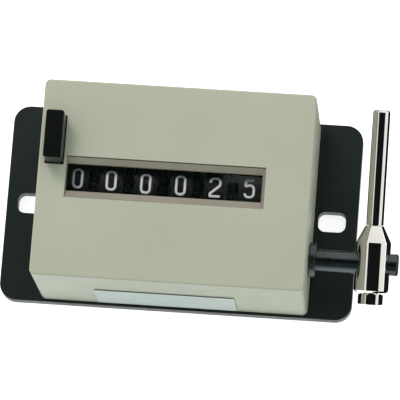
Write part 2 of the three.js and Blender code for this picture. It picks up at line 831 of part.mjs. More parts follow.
function windowFrame() {
  const body = blockOver(opening, bezel_seat_z - bezel_web, bezel_front_z);
  const pocket_outline = grown(lens_outline, running_gap);
  const flange = blockOver(
    {
      low_x: pocket_outline.low_x - bezel_pocket_wall,
      high_x: opening.high_x + bezel_flange_lap,
      low_y: opening.low_y - bezel_flange_lap,
      high_y: opening.high_y + bezel_flange_lap,
    },
    bezel_rear_z,
    bezel_seat_z,
  );
  const pocket = blockOver(pocket_outline, bezel_rear_z - overrun, bezel_seat_z - bezel_web);
  const through = blockOver(aperture, bezel_rear_z, cover_front_z);
  const slope = taperedBlock(
    aperture,
    bezel_front_z - bezel_depth,
    grown(opening, -bezel_lip),
    bezel_front_z + merge_tolerance,
  );
  const above = blockOver(grown(opening, -bezel_lip), bezel_front_z, cover_front_z);
  return cut(join(body, flange), pocket, through, slope, above);
}

function windowLens() {
  const front_z = bezel_seat_z - bezel_web - seat_gap;
  return blockOver(lens_outline, front_z - lens_thickness, front_z);
}

// Bare plate on the lower side of the cover
function ratingLabel() {
  const seat_y = cover_rise - cover_height / 2 - label_gap;
  const low_z = cover_rear_z + label_rise;
  return block(
    -label_width / 2 - label_shift,
    label_width / 2 - label_shift,
    seat_y - label_thickness,
    seat_y,
    low_z,
    low_z + label_height,
  );
}

// Side plates bent to an L, with holes for everything that runs in them
function sidePlate(side) {
  const from_x = side < 0 ? left_plate_x : right_plate_x;
  const to_x = from_x + side_plate_thickness;
  const outline = polygon([
    new THREE.Vector2(side_plate_low_y, cover_rear_z),
    new THREE.Vector2(side_plate_high_y, cover_rear_z),
    new THREE.Vector2(side_plate_high_y, side_plate_front_z - side_plate_corner / 2),
    new THREE.Vector2(side_plate_high_y - side_plate_corner / 2, side_plate_front_z),
    new THREE.Vector2(side_plate_low_y + side_plate_corner / 2, side_plate_front_z),
    new THREE.Vector2(side_plate_low_y, side_plate_front_z - side_plate_corner / 2),
  ]);
  const foot_x = side < 0 ? to_x : from_x - foot_length;
  const foot = block(
    foot_x - (side < 0 ? side_plate_thickness / 2 : 0),
    foot_x + foot_length + (side < 0 ? 0 : side_plate_thickness / 2),
    side_plate_low_y,
    side_plate_high_y,
    cover_rear_z,
    cover_rear_z + foot_thickness,
  );
  const shaft_bore = side < 0 ? shaft_inner_radius : bush_neck_radius;
  const bores = [
    [wheel_axle_radius, wheel_axle_y, wheel_axle_z],
    [pinion_axle_radius, pinion_axle_y, pinion_axle_z],
    [shaft_bore, shaft_y, shaft_z],
    [reset_shaft_radius, reset_shaft_y, reset_shaft_z],
    [tie_spigot_radius, lower_tie_y, tie_bar_z],
    [tie_spigot_radius, upper_tie_y, tie_bar_z],
    [tie_spigot_radius, front_tie_y, front_tie_z],
  ].map(([radius, y, z]) => cylinderX(radius + running_gap, y, z, from_x - overrun, to_x + overrun));
  const screw_holes = frame_screw_places
    .filter((place) => place.x * side > 0)
    .map((place) => cylinderZ(
      screw_radius + running_gap,
      place.x,
      place.y,
      cover_rear_z - overrun,
      cover_rear_z + foot_thickness + overrun,
    ));
  const plate = cut(join(alongX(outline, from_x, to_x), foot), ...bores, ...screw_holes);
  if (side > 0) return plate;
  const stud = cylinderX(
    guide_stud_radius,
    guide_stud_y,
    guide_stud_z,
    key_stem_x,
    from_x + side_plate_thickness / 2,
  );
  return join(plate, stud);
}

// Tie bar with a thinner spigot in each side plate
function tieBar(y, z) {
  const bar_from = left_plate_inner_x + seat_gap;
  const bar_to = right_plate_x - seat_gap;
  return turnedX([
    [0, left_plate_x],
    [tie_spigot_radius, left_plate_x],
    [tie_spigot_radius, bar_from],
    [tie_bar_radius, bar_from],
    [tie_bar_radius, bar_to],
    [tie_spigot_radius, bar_to],
    [tie_spigot_radius, right_plate_outer_x],
    [0, right_plate_outer_x],
  ], y, z, small_sides);
}

// Axle through both side plates with a groove and ring outside each plate
const left_ring_x = left_plate_x - seat_gap - ring_thickness;
const right_ring_x = right_plate_outer_x + seat_gap;

function grooved(radius, from_x, to_x, groove_places) {
  const points = [[0, from_x], [radius, from_x]];
  for (const groove of groove_places) {
    const low = groove - running_gap / 2;
    const high = groove + ring_thickness + running_gap / 2;
    const depth_radius = radius - ring_groove_depth;
    points.push([radius, low], [depth_radius, low], [depth_radius, high], [radius, high]);
  }
  points.push([radius, to_x], [0, to_x]);
  return points;
}

function wheelAxle() {
  const from_x = left_ring_x - axle_end_length;
  const to_x = right_ring_x + ring_thickness + axle_end_length;
  return turnedX(
    grooved(wheel_axle_radius, from_x, to_x, [left_ring_x, right_ring_x]),
    wheel_axle_y,
    wheel_axle_z,
  );
}

function retainingRing(axle_radius, y, z, at_x) {
  const inner = axle_radius - ring_groove_depth + running_gap;
  return ringX(axle_radius + ring_width_radial, inner, y, z, at_x, at_x + ring_thickness);
}

function wheelAxleRing(at_x) {
  return retainingRing(wheel_axle_radius, wheel_axle_y, wheel_axle_z, at_x);
}

function pinionAxle() {
  return cylinderX(pinion_axle_radius, pinion_axle_y, pinion_axle_z, left_plate_x, right_plate_outer_x);
}

// Number wheel: rim, transfer ring on its right, heart cam with carry peak on its left
function heartOutline() {
  const points = [];
  for (let i = 0; i < round_sides; i += 1) {
    const turn = (360 * i) / round_sides;
    const rise_share = 1 - Math.abs(turn - 180) / 180;
    const radius = cam_low_radius + (cam_high_radius - cam_low_radius) * rise_share;
    points.push(polar(radius, turn, wheel_axle_y, wheel_axle_z));
  }
  return polygon(points);
}

function numberWheel(centre_x, has_ring) {
  const left_x = centre_x - wheel_width / 2;
  const right_x = centre_x + wheel_width / 2;
  const rim = cylinderX(wheel_radius, wheel_axle_y, wheel_axle_z, left_x, right_x, wheel_sides);
  const cam = alongX(heartOutline(), left_x - cam_width, left_x + overrun);
  const parts = [rim, cam];
  let end_x = right_x;
  if (has_ring) {
    const tooth_direction = pinion_direction + 180 / ring_teeth;
    const outline = gearOutline(ring_teeth, carry_module, wheel_axle_y, wheel_axle_z, tooth_direction);
    end_x = right_x + ring_width;
    parts.push(alongX(outline, right_x - overrun, end_x));
  }
  const bore = cylinderX(
    wheel_axle_radius + running_gap,
    wheel_axle_y,
    wheel_axle_z,
    left_x - cam_width - overrun,
    end_x + overrun,
  );
  const recess = ringX(
    recess_outer_radius,
    recess_inner_radius,
    wheel_axle_y,
    wheel_axle_z,
    end_x - recess_depth,
    end_x + overrun,
  );
  return cut(join(...parts), bore, recess);
}

function transferPinion(left_wheel_x) {
  const from_x = left_wheel_x + wheel_width / 2 + pinion_side_gap;
  const outline = gearOutline(
    pinion_teeth,
    carry_module,
    pinion_axle_y,
    pinion_axle_z,
    pinion_direction + 180,
    { flank_points: 3 },
  );
  return cut(
    alongX(outline, from_x, from_x + pinion_width),
    cylinderX(
      pinion_axle_radius + running_gap,
      pinion_axle_y,
      pinion_axle_z,
      from_x - overrun,
      from_x + pinion_width + overrun,
      small_sides,
    ),
  );
}

// Ratchet wheel on the units wheel: each tooth rises along the turn and drops at its steep flank
const ratchet_root_share = 0.06;

function ratchetWheel() {
  const points = [];
  for (let i = 0; i < ratchet_teeth; i += 1) {
    const flank = pawl_direction + i * ratchet_step;
    points.push(polar(ratchet_tip_radius, flank, wheel_axle_y, wheel_axle_z));
    const root_direction = flank + ratchet_step * ratchet_root_share;
    points.push(polar(ratchet_root_radius, root_direction, wheel_axle_y, wheel_axle_z));
  }
  return cut(
    alongX(polygon(points), ratchet_x, ratchet_end_x),
    cylinderX(
      wheel_axle_radius + running_gap,
      wheel_axle_y,
      wheel_axle_z,
      ratchet_x - overrun,
      ratchet_end_x + overrun,
    ),
  );
}

// Drive gear with the pin that the pawl swings on and the post of the pawl spring
const pawl_pivot = polar(
  pawl_pivot_radius,
  pawl_direction + pawl_pivot_lead,
  wheel_axle_y,
  wheel_axle_z,
);
const pawl_post = polar(
  pawl_pivot_radius,
  pawl_direction + pawl_post_lead,
  wheel_axle_y,
  wheel_axle_z,
);

function driveGear() {
  const tooth_direction = drive_direction + 180 + 180 / gear_teeth;
  const outline = gearOutline(gear_teeth, drive_module, wheel_axle_y, wheel_axle_z, tooth_direction);
  const web_overlap_x = gear_x + gear_width / 2;
  return cut(
    join(
      alongX(outline, gear_x, gear_end_x),
      cylinderX(gear_hub_radius, wheel_axle_y, wheel_axle_z, web_overlap_x, hub_end_x),
      cylinderX(pawl_pin_radius, pawl_pivot.x, pawl_pivot.y, pawl_x, web_overlap_x, small_sides),
      cylinderX(pawl_post_pin_radius, pawl_post.x, pawl_post.y, pawl_x, web_overlap_x, small_sides),
    ),
    cylinderX(
      wheel_axle_radius + running_gap,
      wheel_axle_y,
      wheel_axle_z,
      gear_x - overrun,
      hub_end_x + overrun,
    ),
  );
}

// A point by its lead angle round the wheel axle, ahead of the ratchet flank that the pawl pushes
function fromWheel(lead, radius) {
  return polar(radius, pawl_direction + lead, wheel_axle_y, wheel_axle_z);
}

// Pawl: a hooked arm. Its hook is given in shares of the lead up to its pivot and of the tooth height,
// and its belly and back in shares of that lead alone.
const pawl_hook_shares = [[0.073, 0.32], [0.364, 0.92]];
const pawl_belly_shares = [0.545, 0.727];
const pawl_back_shares = [0.636, 0.255, 0.073];

function drivePawl() {
  const tooth_height = ratchet_tip_radius - ratchet_root_radius;
  const hook = pawl_hook_shares.map(([lead_share, height_share]) => (
    fromWheel(pawl_pivot_lead * lead_share, ratchet_root_radius + tooth_height * height_share)
  ));
  const belly = pawl_belly_shares.map((lead_share, i) => (
    fromWheel(pawl_pivot_lead * lead_share, ratchet_tip_radius + (i + 1) * seat_gap)
  ));
  const back_radii = [pawl_pivot_radius + seat_gap, pawl_pivot_radius, ratchet_tip_radius + seat_gap];
  const back = pawl_back_shares.map((lead_share, i) => (
    fromWheel(pawl_pivot_lead * lead_share, back_radii[i])
  ));
  const arm = polygon([
    ...hook,
    ...belly,
    fromWheel(pawl_pivot_lead, pawl_pivot_radius - pawl_boss_radius),
    fromWheel(pawl_pivot_lead, pawl_pivot_radius + pawl_boss_radius),
    ...back,
  ]);
  const boss = cylinderX(pawl_boss_radius, pawl_pivot.x, pawl_pivot.y, pawl_x, pawl_end_x, small_sides);
  const hole = cylinderX(
    pawl_pin_radius + running_gap,
    pawl_pivot.x,
    pawl_pivot.y,
    pawl_x - overrun,
    pawl_end_x + overrun,
    small_sides,
  );
  return cut(join(alongX(arm, pawl_x, pawl_end_x), boss), hole);
}

// Leaf spring of the pawl: an eye on its post and a blade over the pawl's back. The blade stays level
// over the pivot and then drops towards the nose, at shares of the lead up to the pivot.
const blade_level_shares = [1.22, 1, 0.78];
const blade_drop_shares = [0.545, 0.327];

function pawlSpring() {
  const level_radius = pawl_pivot_radius + pawl_boss_radius + seat_gap;
  const drop_radius = pawl_pivot_radius + 2 * seat_gap + pawl_spring_thickness;
  const path = [
    [pawl_post_lead, level_radius],
    ...blade_level_shares.map((share) => [pawl_pivot_lead * share, level_radius]),
    ...blade_drop_shares.map((share, i) => [
      pawl_pivot_lead * share,
      drop_radius - i * pawl_spring_thickness,
    ]),
  ];
  const inner = path.map(([lead, radius]) => fromWheel(lead, radius));
  const outer = path.map(([lead, radius]) => fromWheel(lead, radius + pawl_spring_thickness)).reverse();
  const blade = alongX(polygon([...inner, ...outer].reverse()), pawl_x, pawl_end_x);
  const hole_radius = pawl_post_pin_radius + running_gap;
  const eye_radius = hole_radius + pawl_spring_thickness;
  const blade_top = fromWheel(pawl_post_lead, level_radius + pawl_spring_thickness / 2);
  const tail = alongX(
    armOutline(pawl_post.x, pawl_post.y, eye_radius, blade_top.x, blade_top.y, pawl_spring_thickness / 2),
    pawl_x,
    pawl_end_x,
  );
  const hole = cylinderX(
    hole_radius,
    pawl_post.x,
    pawl_post.y,
    pawl_x - overrun,
    pawl_end_x + overrun,
    small_sides,
  );
  return cut(join(blade, tail), hole);
}

// Detent lever on the lower tie bar. Its arm passes beside the ratchet, and its hooked nose stops
// just outside the teeth.
function detentLever() {
  const half = detent_arm_width / 2;
  const arm_direction = polar(1, detent_heading);
  const towards_wheel = polar(1, detent_heading + 90);
  const onArm = (along, across) => new THREE.Vector2(
    lower_tie_y + along * arm_direction.x + across * towards_wheel.x,
    tie_bar_z + along * arm_direction.y + across * towards_wheel.y,
  );
  const arm = polygon([
    onArm(0, -detent_boss_radius),
    onArm(detent_reach + detent_nose_width, -half),
    onArm(detent_reach + detent_nose_width, half),
    onArm(detent_reach, half + detent_nose_height),
    onArm(detent_reach - detent_nose_width, half),
    onArm(detent_boss_radius, half),
    onArm(0, detent_boss_radius),
  ]);
  const boss = cylinderX(detent_boss_radius, lower_tie_y, tie_bar_z, pawl_x, pawl_end_x);
  const hole = cylinderX(
    tie_bar_radius + running_gap,
    lower_tie_y,
    tie_bar_z,
    pawl_x - overrun,
    pawl_end_x + overrun,
  );
  return cut(join(alongX(arm, pawl_x, pawl_end_x), boss), hole);
}

// Drive shaft, thick through the bush and lever, thin inside the frame
const segment_pin_x = (gear_end_x + hub_end_x) / 2;

function crossPin(radius, reach) {
  return cylinderY(radius, segment_pin_x, shaft_z, shaft_y - reach, shaft_y + reach, small_sides);
}

function segmentPinHole() {
  return crossPin(segment_pin_radius + running_gap, segment_hub_radius + overrun);
}

function driveShaft() {
  const from_x = left_ring_x - axle_end_length;
  const points = grooved(shaft_inner_radius, from_x, hub_end_x, [left_ring_x]).slice(0, -1);
  points.push([shaft_outer_radius, hub_end_x]);
  points.push([shaft_outer_radius, shaft_end_x - shaft_end_chamfer]);
  points.push([shaft_outer_radius - shaft_end_chamfer, shaft_end_x]);
  points.push([0, shaft_end_x]);
  return cut(turnedX(points, shaft_y, shaft_z, round_sides), segmentPinHole());
}

function driveSegment() {
  const outline = gearOutline(segment_teeth, drive_module, shaft_y, shaft_z, drive_direction, {
    first: segment_first_tooth,
    last: segment_last_tooth,
    hub_radius: segment_hub_radius,
  });
  return cut(
    join(
      alongX(outline, gear_x, gear_end_x),
      cylinderX(segment_hub_radius, shaft_y, shaft_z, gear_end_x - gear_width / 2, hub_end_x - seat_gap),
    ),
    cylinderX(shaft_inner_radius + running_gap, shaft_y, shaft_z, gear_x - overrun, hub_end_x + overrun),
    segmentPinHole(),
  );
}

function segmentPin() {
  return crossPin(segment_pin_radius, segment_hub_radius - seat_gap);
}

function shaftBush() {
  const neck_x = right_plate_x + running_gap;
  const body = turnedX([
    [0, neck_x],
    [bush_neck_radius, neck_x],
    [bush_neck_radius, bush_inner_x],
    [bush_radius, bush_inner_x],
    [bush_radius, bush_flange_x],
    [bush_flange_radius, bush_flange_x],
    [bush_flange_radius, bush_flange_x + bush_flange_thickness],
    [0, bush_flange_x + bush_flange_thickness],
  ], shaft_y, shaft_z, round_sides);
  return cut(body, cylinderX(
    shaft_outer_radius + running_gap,
    shaft_y,
    shaft_z,
    neck_x - overrun,
    bush_flange_x + bush_flange_thickness + overrun,
    round_sides,
  ));
}

// The clamped pieces lean out at rest: their solids are made upright and turned about the shaft
function leaned(body) {
  return body
    .translate([0, -shaft_y, -shaft_z])
    .rotate([lever_lean_angle, 0, 0])
    .translate([0, shaft_y, shaft_z]);
}

// Lever: turned hub clamped on the shaft by a hexagon screw, with a round rod
function leverHub() {
  const bottom_y = shaft_y - hub_below;
  const top_y = shaft_y + hub_cone_top;
  const body = turnedY([
    [0, bottom_y],
    [hub_radius - hub_chamfer, bottom_y],
    [hub_radius, bottom_y + hub_chamfer],
    [hub_radius, shaft_y + hub_above],
    [hub_cone_radius, top_y],
    [0, top_y],
  ], lever_x, shaft_z);
  const cross_bore = cylinderX(
    shaft_outer_radius + running_gap,
    shaft_y,
    shaft_z,
    lever_x - hub_radius - overrun,
    lever_x + hub_radius + overrun,
    round_sides,
  );
  const screw_bore = cylinderY(
    clamp_thread_radius + running_gap,
    lever_x,
    shaft_z,
    bottom_y - overrun,
    shaft_y,
  );
  const rod_bore = cylinderY(
    rod_spigot_radius + running_gap,
    lever_x,
    shaft_z,
    top_y - rod_spigot_length,
    top_y + overrun,
  );
  return cut(body, cross_bore, screw_bore, rod_bore);
}

function leverRod() {
  const seat_y = shaft_y + hub_cone_top + running_gap;
  const spigot_y = shaft_y + hub_cone_top - rod_spigot_length + seat_gap;
  const end_y = shaft_y + rod_reach;
  const rounded_end = [0, 45, 90].map((angle) => [
    rod_radius - rod_end_round + rod_end_round * cosine(angle),
    end_y - rod_end_round + rod_end_round * sine(angle),
  ]);
  return turnedY([
    [0, spigot_y],
    [rod_spigot_radius, spigot_y],
    [rod_spigot_radius, seat_y],
    [rod_radius, seat_y],
    ...rounded_end,
    [0, end_y],
  ], lever_x, shaft_z, round_sides);
}

// Clamp screw: the hexagon shows a flat to the front and points a corner along the shaft
function clampScrew() {
  const head_top = shaft_y - hub_below - washer_gap;
  const head_bottom = head_top - screw_head_height;
  const corner_radius = screw_head_across_flats / 2 / cosine(180 / hexagon_sides);
  const shank_end = shaft_y - shaft_outer_radius - seat_gap;
  const hexagon = new THREE.CylinderGeometry(
    corner_radius,
    corner_radius,
    screw_head_height,
    hexagon_sides,
  );
  hexagon.rotateY(radians(180 / hexagon_sides));
  hexagon.translate(lever_x, (head_bottom + head_top) / 2, shaft_z);
  const head = solid(hexagon);
  const chamfer = turnedY([
    [0, head_bottom],
    [corner_radius - screw_head_chamfer, head_bottom],
    [corner_radius + screw_head_chamfer, head_bottom + 2 * screw_head_chamfer],
    [corner_radius + screw_head_chamfer, head_top + overrun],
    [0, head_top + overrun],
  ], lever_x, shaft_z, round_sides);
  const shank = cylinderY(clamp_thread_radius, lever_x, shaft_z, head_top - overrun, shank_end);
  return join(head.intersect(chamfer), shank);
}

// Reset key with its stem beside the left side plate
function resetKey() {
  const outline = roundedRectangle(
    key_outline.low_x + key_edge_bevel,
    key_outline.low_y + key_edge_bevel,
    key_outline.high_x - key_edge_bevel,
    key_outline.high_y - key_edge_bevel,
    key_corner_radius,
  );
  const top_z = cover_front_z + key_reach;
  const geometry = new THREE.ExtrudeGeometry(outline, {
    depth: top_z - bezel_seat_z,
    bevelEnabled: true,
    bevelThickness: key_edge_bevel,
    bevelSize: key_edge_bevel,
    bevelSegments: edge_steps,
    curveSegments: corner_steps,
  });
  geometry.translate(0, 0, bezel_seat_z - key_edge_bevel);
  const head = solid(geometry);
  const flange_z = bezel_seat_z - key_flange_thickness;
  const flange = block(
    key_outline.low_x - key_flange_side_lap,
    key_outline.high_x,
    key_outline.low_y - key_flange_lap,
    key_outline.high_y + key_flange_lap,
    flange_z,
    bezel_seat_z,
  );
  const foot_z = crank_tip_z + crank_tip_radius + seat_gap;
  const leg_high_y = stem_low_y + stem_leg_width;
  const leg_end_z = guide_stud_z - stem_leg_below_stud;
  const stem = alongX(
    polygon([
      new THREE.Vector2(stem_low_y, leg_end_z),
      new THREE.Vector2(leg_high_y, leg_end_z),
      new THREE.Vector2(leg_high_y, foot_z),
      new THREE.Vector2(stem_high_y, foot_z),
      new THREE.Vector2(stem_high_y, flange_z + key_flange_thickness / 2),
      new THREE.Vector2(stem_low_y, flange_z + key_flange_thickness / 2),
    ]),
    key_stem_x,
    key_stem_x + stem_thickness,
  );
  const slot_radius = guide_stud_radius + running_gap;
  const slot = alongX(
    armOutline(
      guide_stud_y,
      guide_stud_z,
      slot_radius,
      guide_stud_y,
      guide_stud_z + key_travel + running_gap,
      slot_radius,
    ),
    key_stem_x - overrun,
    key_stem_x + stem_thickness + overrun,
  );
  return cut(join(head, flange, stem), slot);
}

// Reset shaft, crank and hammers
function resetShaft() {
  const from_x = key_stem_x;
  const to_x = right_ring_x + ring_thickness + axle_end_length;
  return turnedX(
    grooved(reset_shaft_radius, from_x, to_x, [right_ring_x]),
    reset_shaft_y,
    reset_shaft_z,
    small_sides,
  );
}

function resetShaftRing() {
  return retainingRing(reset_shaft_radius, reset_shaft_y, reset_shaft_z, right_ring_x);
}

function resetBore(from_x, to_x) {
  return cylinderX(
    reset_shaft_radius + running_gap,
    reset_shaft_y,
    reset_shaft_z,
    from_x - overrun,
    to_x + overrun,
    small_sides,
  );
}

function resetCrank() {
  const outline = armOutline(
    reset_shaft_y,
    reset_shaft_z,
    crank_hub_radius,
    crank_tip_y,
    crank_tip_z,
    crank_tip_radius,
  );
  const from_x = key_stem_x;
  const to_x = from_x + crank_width;
  return cut(alongX(outline, from_x, to_x), resetBore(from_x, to_x));
}

function resetHammer(wheel_x) {
  const tip = polar(hammer_reach, 180 - hammer_rise, reset_shaft_y, reset_shaft_z);
  const outline = armOutline(
    reset_shaft_y,
    reset_shaft_z,
    hammer_hub_radius,
    tip.x,
    tip.y,
    hammer_tip_radius,
  );
  const to_x = wheel_x - wheel_width / 2 - hammer_side_gap;
  const from_x = to_x - hammer_width;
  return cut(alongX(outline, from_x, to_x), resetBore(from_x, to_x));
}

// Springs
function leverReturnSpring() {
  const from_x = gear_x - seat_gap - lever_wire_radius;
  const leg = shaft_z - tie_bar_z + tie_bar_radius;
  return torsionSpring({
    radius: lever_coil_radius,
    turns: lever_coil_turns,
    length: -lever_coil_length,
    from_x,
    y: shaft_y,
    z: shaft_z,
    start_angle: 0,
    first_leg: 0,
    last_leg: leg,
  }, lever_wire_radius);
}

function resetReturnSpring() {
  const from_x = gear_x;
  const leg = reset_shaft_z - tie_bar_z + tie_bar_radius;
  return torsionSpring({
    radius: reset_coil_radius,
    turns: reset_coil_turns,
    length: reset_coil_length,
    from_x,
    y: reset_shaft_y,
    z: reset_shaft_z,
    start_angle: 0,
    first_leg: leg,
    last_leg: 0,
  }, reset_wire_radius);
}

function detentSpring() {
  const from_x = gear_x;
  const leg = tie_bar_z - cover_rear_z - foot_thickness - seat_gap - detent_wire_radius;
  return torsionSpring({
    radius: detent_coil_radius,
    turns: detent_coil_turns,
    length: detent_coil_length,
    from_x,
    y: lower_tie_y,
    z: tie_bar_z,
    start_angle: 0,
    first_leg: leg,
    last_leg: 0,
  }, detent_wire_radius);
}

// Countersunk screw from behind, with a recess in its head
function rearScrew(place, length) {
  const body = turnedZ([
    [0, screw_head_sink],
    [screw_head_radius, screw_head_sink],
    [screw_radius, screw_head_sink + screw_head_depth],
    [screw_radius, screw_head_sink + length],
    [0, screw_head_sink + length],
  ], place.x, place.y);
  return cut(body, cylinderZ(
    screw_drive_radius,
    place.x,
    place.y,
    screw_head_sink - overrun,
    screw_head_sink + screw_drive_depth,
    hexagon_sides,
  ));
}

// Assembly: housing and what is fixed in it
piece('base_plate', basePlate(), plate_lacquer);
piece('cover', cover(), cover_enamel);
piece('window_frame', windowFrame(), bezel_plastic);
piece('window_lens', windowLens(), clear_plastic);
piece('rating_label', ratingLabel(), label_foil);
piece('left_side_plate', sidePlate(-1), bright_steel);
piece('right_side_plate', sidePlate(1), bright_steel);
piece('lower_tie_bar', tieBar(lower_tie_y, tie_bar_z), bright_steel);
piece('upper_tie_bar', tieBar(upper_tie_y, tie_bar_z), bright_steel);
piece('front_tie_bar', tieBar(front_tie_y, front_tie_z), bright_steel);
piece('wheel_axle', wheelAxle(), bright_steel);
piece('wheel_axle_ring_left', wheelAxleRing(left_ring_x), dark_steel);
piece('wheel_axle_ring_right', wheelAxleRing(right_ring_x), dark_steel);
piece('pinion_axle', pinionAxle(), bright_steel);
piece('shaft_bush', shaftBush(), dark_steel);
cover_screw_places.forEach((place, i) => {
  piece(`cover_screw_${i + 1}`, rearScrew(place, cover_screw_length), bright_steel);
});
frame_screw_places.forEach((place, i) => {
  piece(`frame_screw_${i + 1}`, rearScrew(place, plate_thickness + foot_thickness), bright_steel);
});

// Assembly: number wheels and the pieces repeated with them
wheel_centres.forEach((centre_x, i) => {
  piece(`number_wheel_${i + 1}`, numberWheel(centre_x, i < wheel_count - 1), black_plastic);
  piece(`reset_hammer_${i + 1}`, resetHammer(centre_x), bright_steel);
  if (i < wheel_count - 1) piece(`transfer_pinion_${i + 1}`, transferPinion(centre_x), white_plastic);
});

// Assembly: lever and drive
piece('drive_shaft', driveShaft(), dark_steel);
piece('shaft_ring', retainingRing(shaft_inner_radius, shaft_y, shaft_z, left_ring_x), dark_steel);
piece('lever_hub', leaned(leverHub()), nickel);
piece('lever_rod', leaned(leverRod()), nickel);
piece('clamp_screw', leaned(clampScrew()), nickel);
piece('lever_return_spring', leverReturnSpring(), bright_steel);
piece('drive_segment', driveSegment(), brass);
piece('segment_pin', segmentPin(), dark_steel);
piece('drive_gear', driveGear(), brass);
piece('drive_pawl', drivePawl(), dark_steel);
piece('pawl_spring', pawlSpring(), bright_steel);
piece('ratchet_wheel', ratchetWheel(), brass);
piece('detent_lever', detentLever(), dark_steel);
piece('detent_spring', detentSpring(), bright_steel);

// Assembly: reset
piece('reset_key', resetKey(), black_plastic);
piece('reset_shaft', resetShaft(), bright_steel);
piece('reset_shaft_ring', resetShaftRing(), dark_steel);
piece('reset_crank', resetCrank(), bright_steel);
piece('reset_return_spring', resetReturnSpring(), bright_steel);

export default stroke_counter;
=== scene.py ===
"""Looks of a six-figure stroke counter that lies on the back of its base plate.

Sizes and places are in millimetres and angles in degrees, unless a docstring names another unit, in the
frame of the solids: X to the lever side, Y from the label plate to the reset key, Z out of the window.
Meshes are in metres.
"""

from __future__ import annotations

import json
import logging
import math
from dataclasses import dataclass
from enum import Enum
from functools import cache
from typing import Any, Callable, Sequence

import bpy
from mathutils import Matrix, Vector


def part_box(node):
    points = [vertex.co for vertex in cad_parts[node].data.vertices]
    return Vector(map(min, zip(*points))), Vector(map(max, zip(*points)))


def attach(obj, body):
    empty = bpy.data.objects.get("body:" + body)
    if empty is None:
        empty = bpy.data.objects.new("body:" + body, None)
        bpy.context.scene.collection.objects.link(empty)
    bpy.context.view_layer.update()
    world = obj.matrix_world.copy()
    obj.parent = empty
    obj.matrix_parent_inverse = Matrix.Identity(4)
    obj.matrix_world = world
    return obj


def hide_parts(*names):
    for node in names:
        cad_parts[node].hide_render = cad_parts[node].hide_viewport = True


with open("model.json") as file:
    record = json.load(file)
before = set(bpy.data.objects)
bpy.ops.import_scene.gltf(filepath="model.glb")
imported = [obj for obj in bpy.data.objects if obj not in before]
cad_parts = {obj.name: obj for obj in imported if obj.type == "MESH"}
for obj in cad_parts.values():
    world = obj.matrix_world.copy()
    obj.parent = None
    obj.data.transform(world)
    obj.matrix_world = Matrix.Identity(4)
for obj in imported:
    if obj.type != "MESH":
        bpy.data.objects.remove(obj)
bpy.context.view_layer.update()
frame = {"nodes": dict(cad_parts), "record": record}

log = logging.getLogger("stroke_counter")

# A millimetre in metres.
MM = 0.001
# Places that are no further apart than this count as the same.
NEAR = 0.01
# Two directions count as parallel if the cosine between them is above this.
PARALLEL = 0.9
# How far a cut starts before and ends behind what it cuts.
OVERRUN = 1.0
# Faces that meet at a smaller angle than this are shaded smooth.
SMOOTH_BELOW = 30.0
# Nearly all values of a noise pattern lie between these two.
NOISE_MIDDLE = (0.3, 0.7)

Test = Callable[[Vector, Vector], bool]
Pair = tuple[float, float]
Place = tuple[float, float, float]
Area = tuple[float, float, float, float]
Profile = Sequence[Pair]
Socket = bpy.types.NodeSocket
Tree = bpy.types.NodeTree


class Pick(Enum):
    """What a selection takes, as the select mode of the mesh tools."""

    VERTICES = (True, False, False)
    EDGES = (False, True, False)
    FACES = (False, False, True)


class Merge(Enum):
    """How a second shape changes the first."""

    CUT = "DIFFERENCE"
    ADD = "UNION"
    KEEP_SHARED = "INTERSECT"


class Axis(Enum):
    """The axis a piece was turned about, with the turn in degrees that lays a disc across it."""

    X = ((1.0, 0.0, 0.0), (0.0, 90.0, 0.0))
    Y = ((0.0, 1.0, 0.0), (-90.0, 0.0, 0.0))
    Z = ((0.0, 0.0, 1.0), (0.0, 0.0, 0.0))

    @property
    def direction(self) -> Vector:
        """The unit vector along the axis."""
        return Vector(self.value[0])

    @property
    def lay(self) -> Place:
        """The turn in radians that brings a flat disc square to the axis."""
        return tuple(math.radians(angle) for angle in self.value[1])


class Slot(Enum):
    """Material slots of the record."""

    PLATE = "plate_lacquer"
    COVER = "cover_enamel"
    BEZEL = "bezel_plastic"
    WINDOW = "clear_window"
    LABEL = "label_foil"
    BRIGHT_STEEL = "bright_steel"
    DARK_STEEL = "dark_steel"
    SPRING_STEEL = "spring_steel"
    NICKEL = "nickel_plate"
    WHEEL = "wheel_plastic"
    KEY = "key_plastic"
    PINION = "pinion_plastic"
    BRASS = "gear_brass"


def mm(*lengths: float) -> Vector:
    """A vector in metres from lengths in millimetres."""
    return Vector(lengths) * MM


def limits(node: str) -> tuple[Vector, Vector]:
    """The lowest and the highest corner of a solid."""
    low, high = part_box(node)
    return low / MM, high / MM


def along(axis: Axis) -> Test:
    """A test for edges that run along an axis."""
    return lambda spot, way: abs(way.dot(axis.direction)) > PARALLEL


def deselect_all() -> None:
    """Leaves edit mode and clears the selection, so that an operator takes only what it is given."""
    if bpy.context.mode != "OBJECT":
        bpy.ops.object.mode_set(mode="OBJECT")
    bpy.ops.object.select_all(action="DESELECT")


def turn_about(place: Sequence[float], angle: float, axis: Axis) -> Matrix:
    """A turn about the line along an axis through a place, as a matrix for meshes in metres."""
    turn = Matrix.Rotation(math.radians(angle), 4, axis.direction)
    return Matrix.Translation(mm(*place)) @ turn @ Matrix.Translation(-mm(*place))


# Shapes


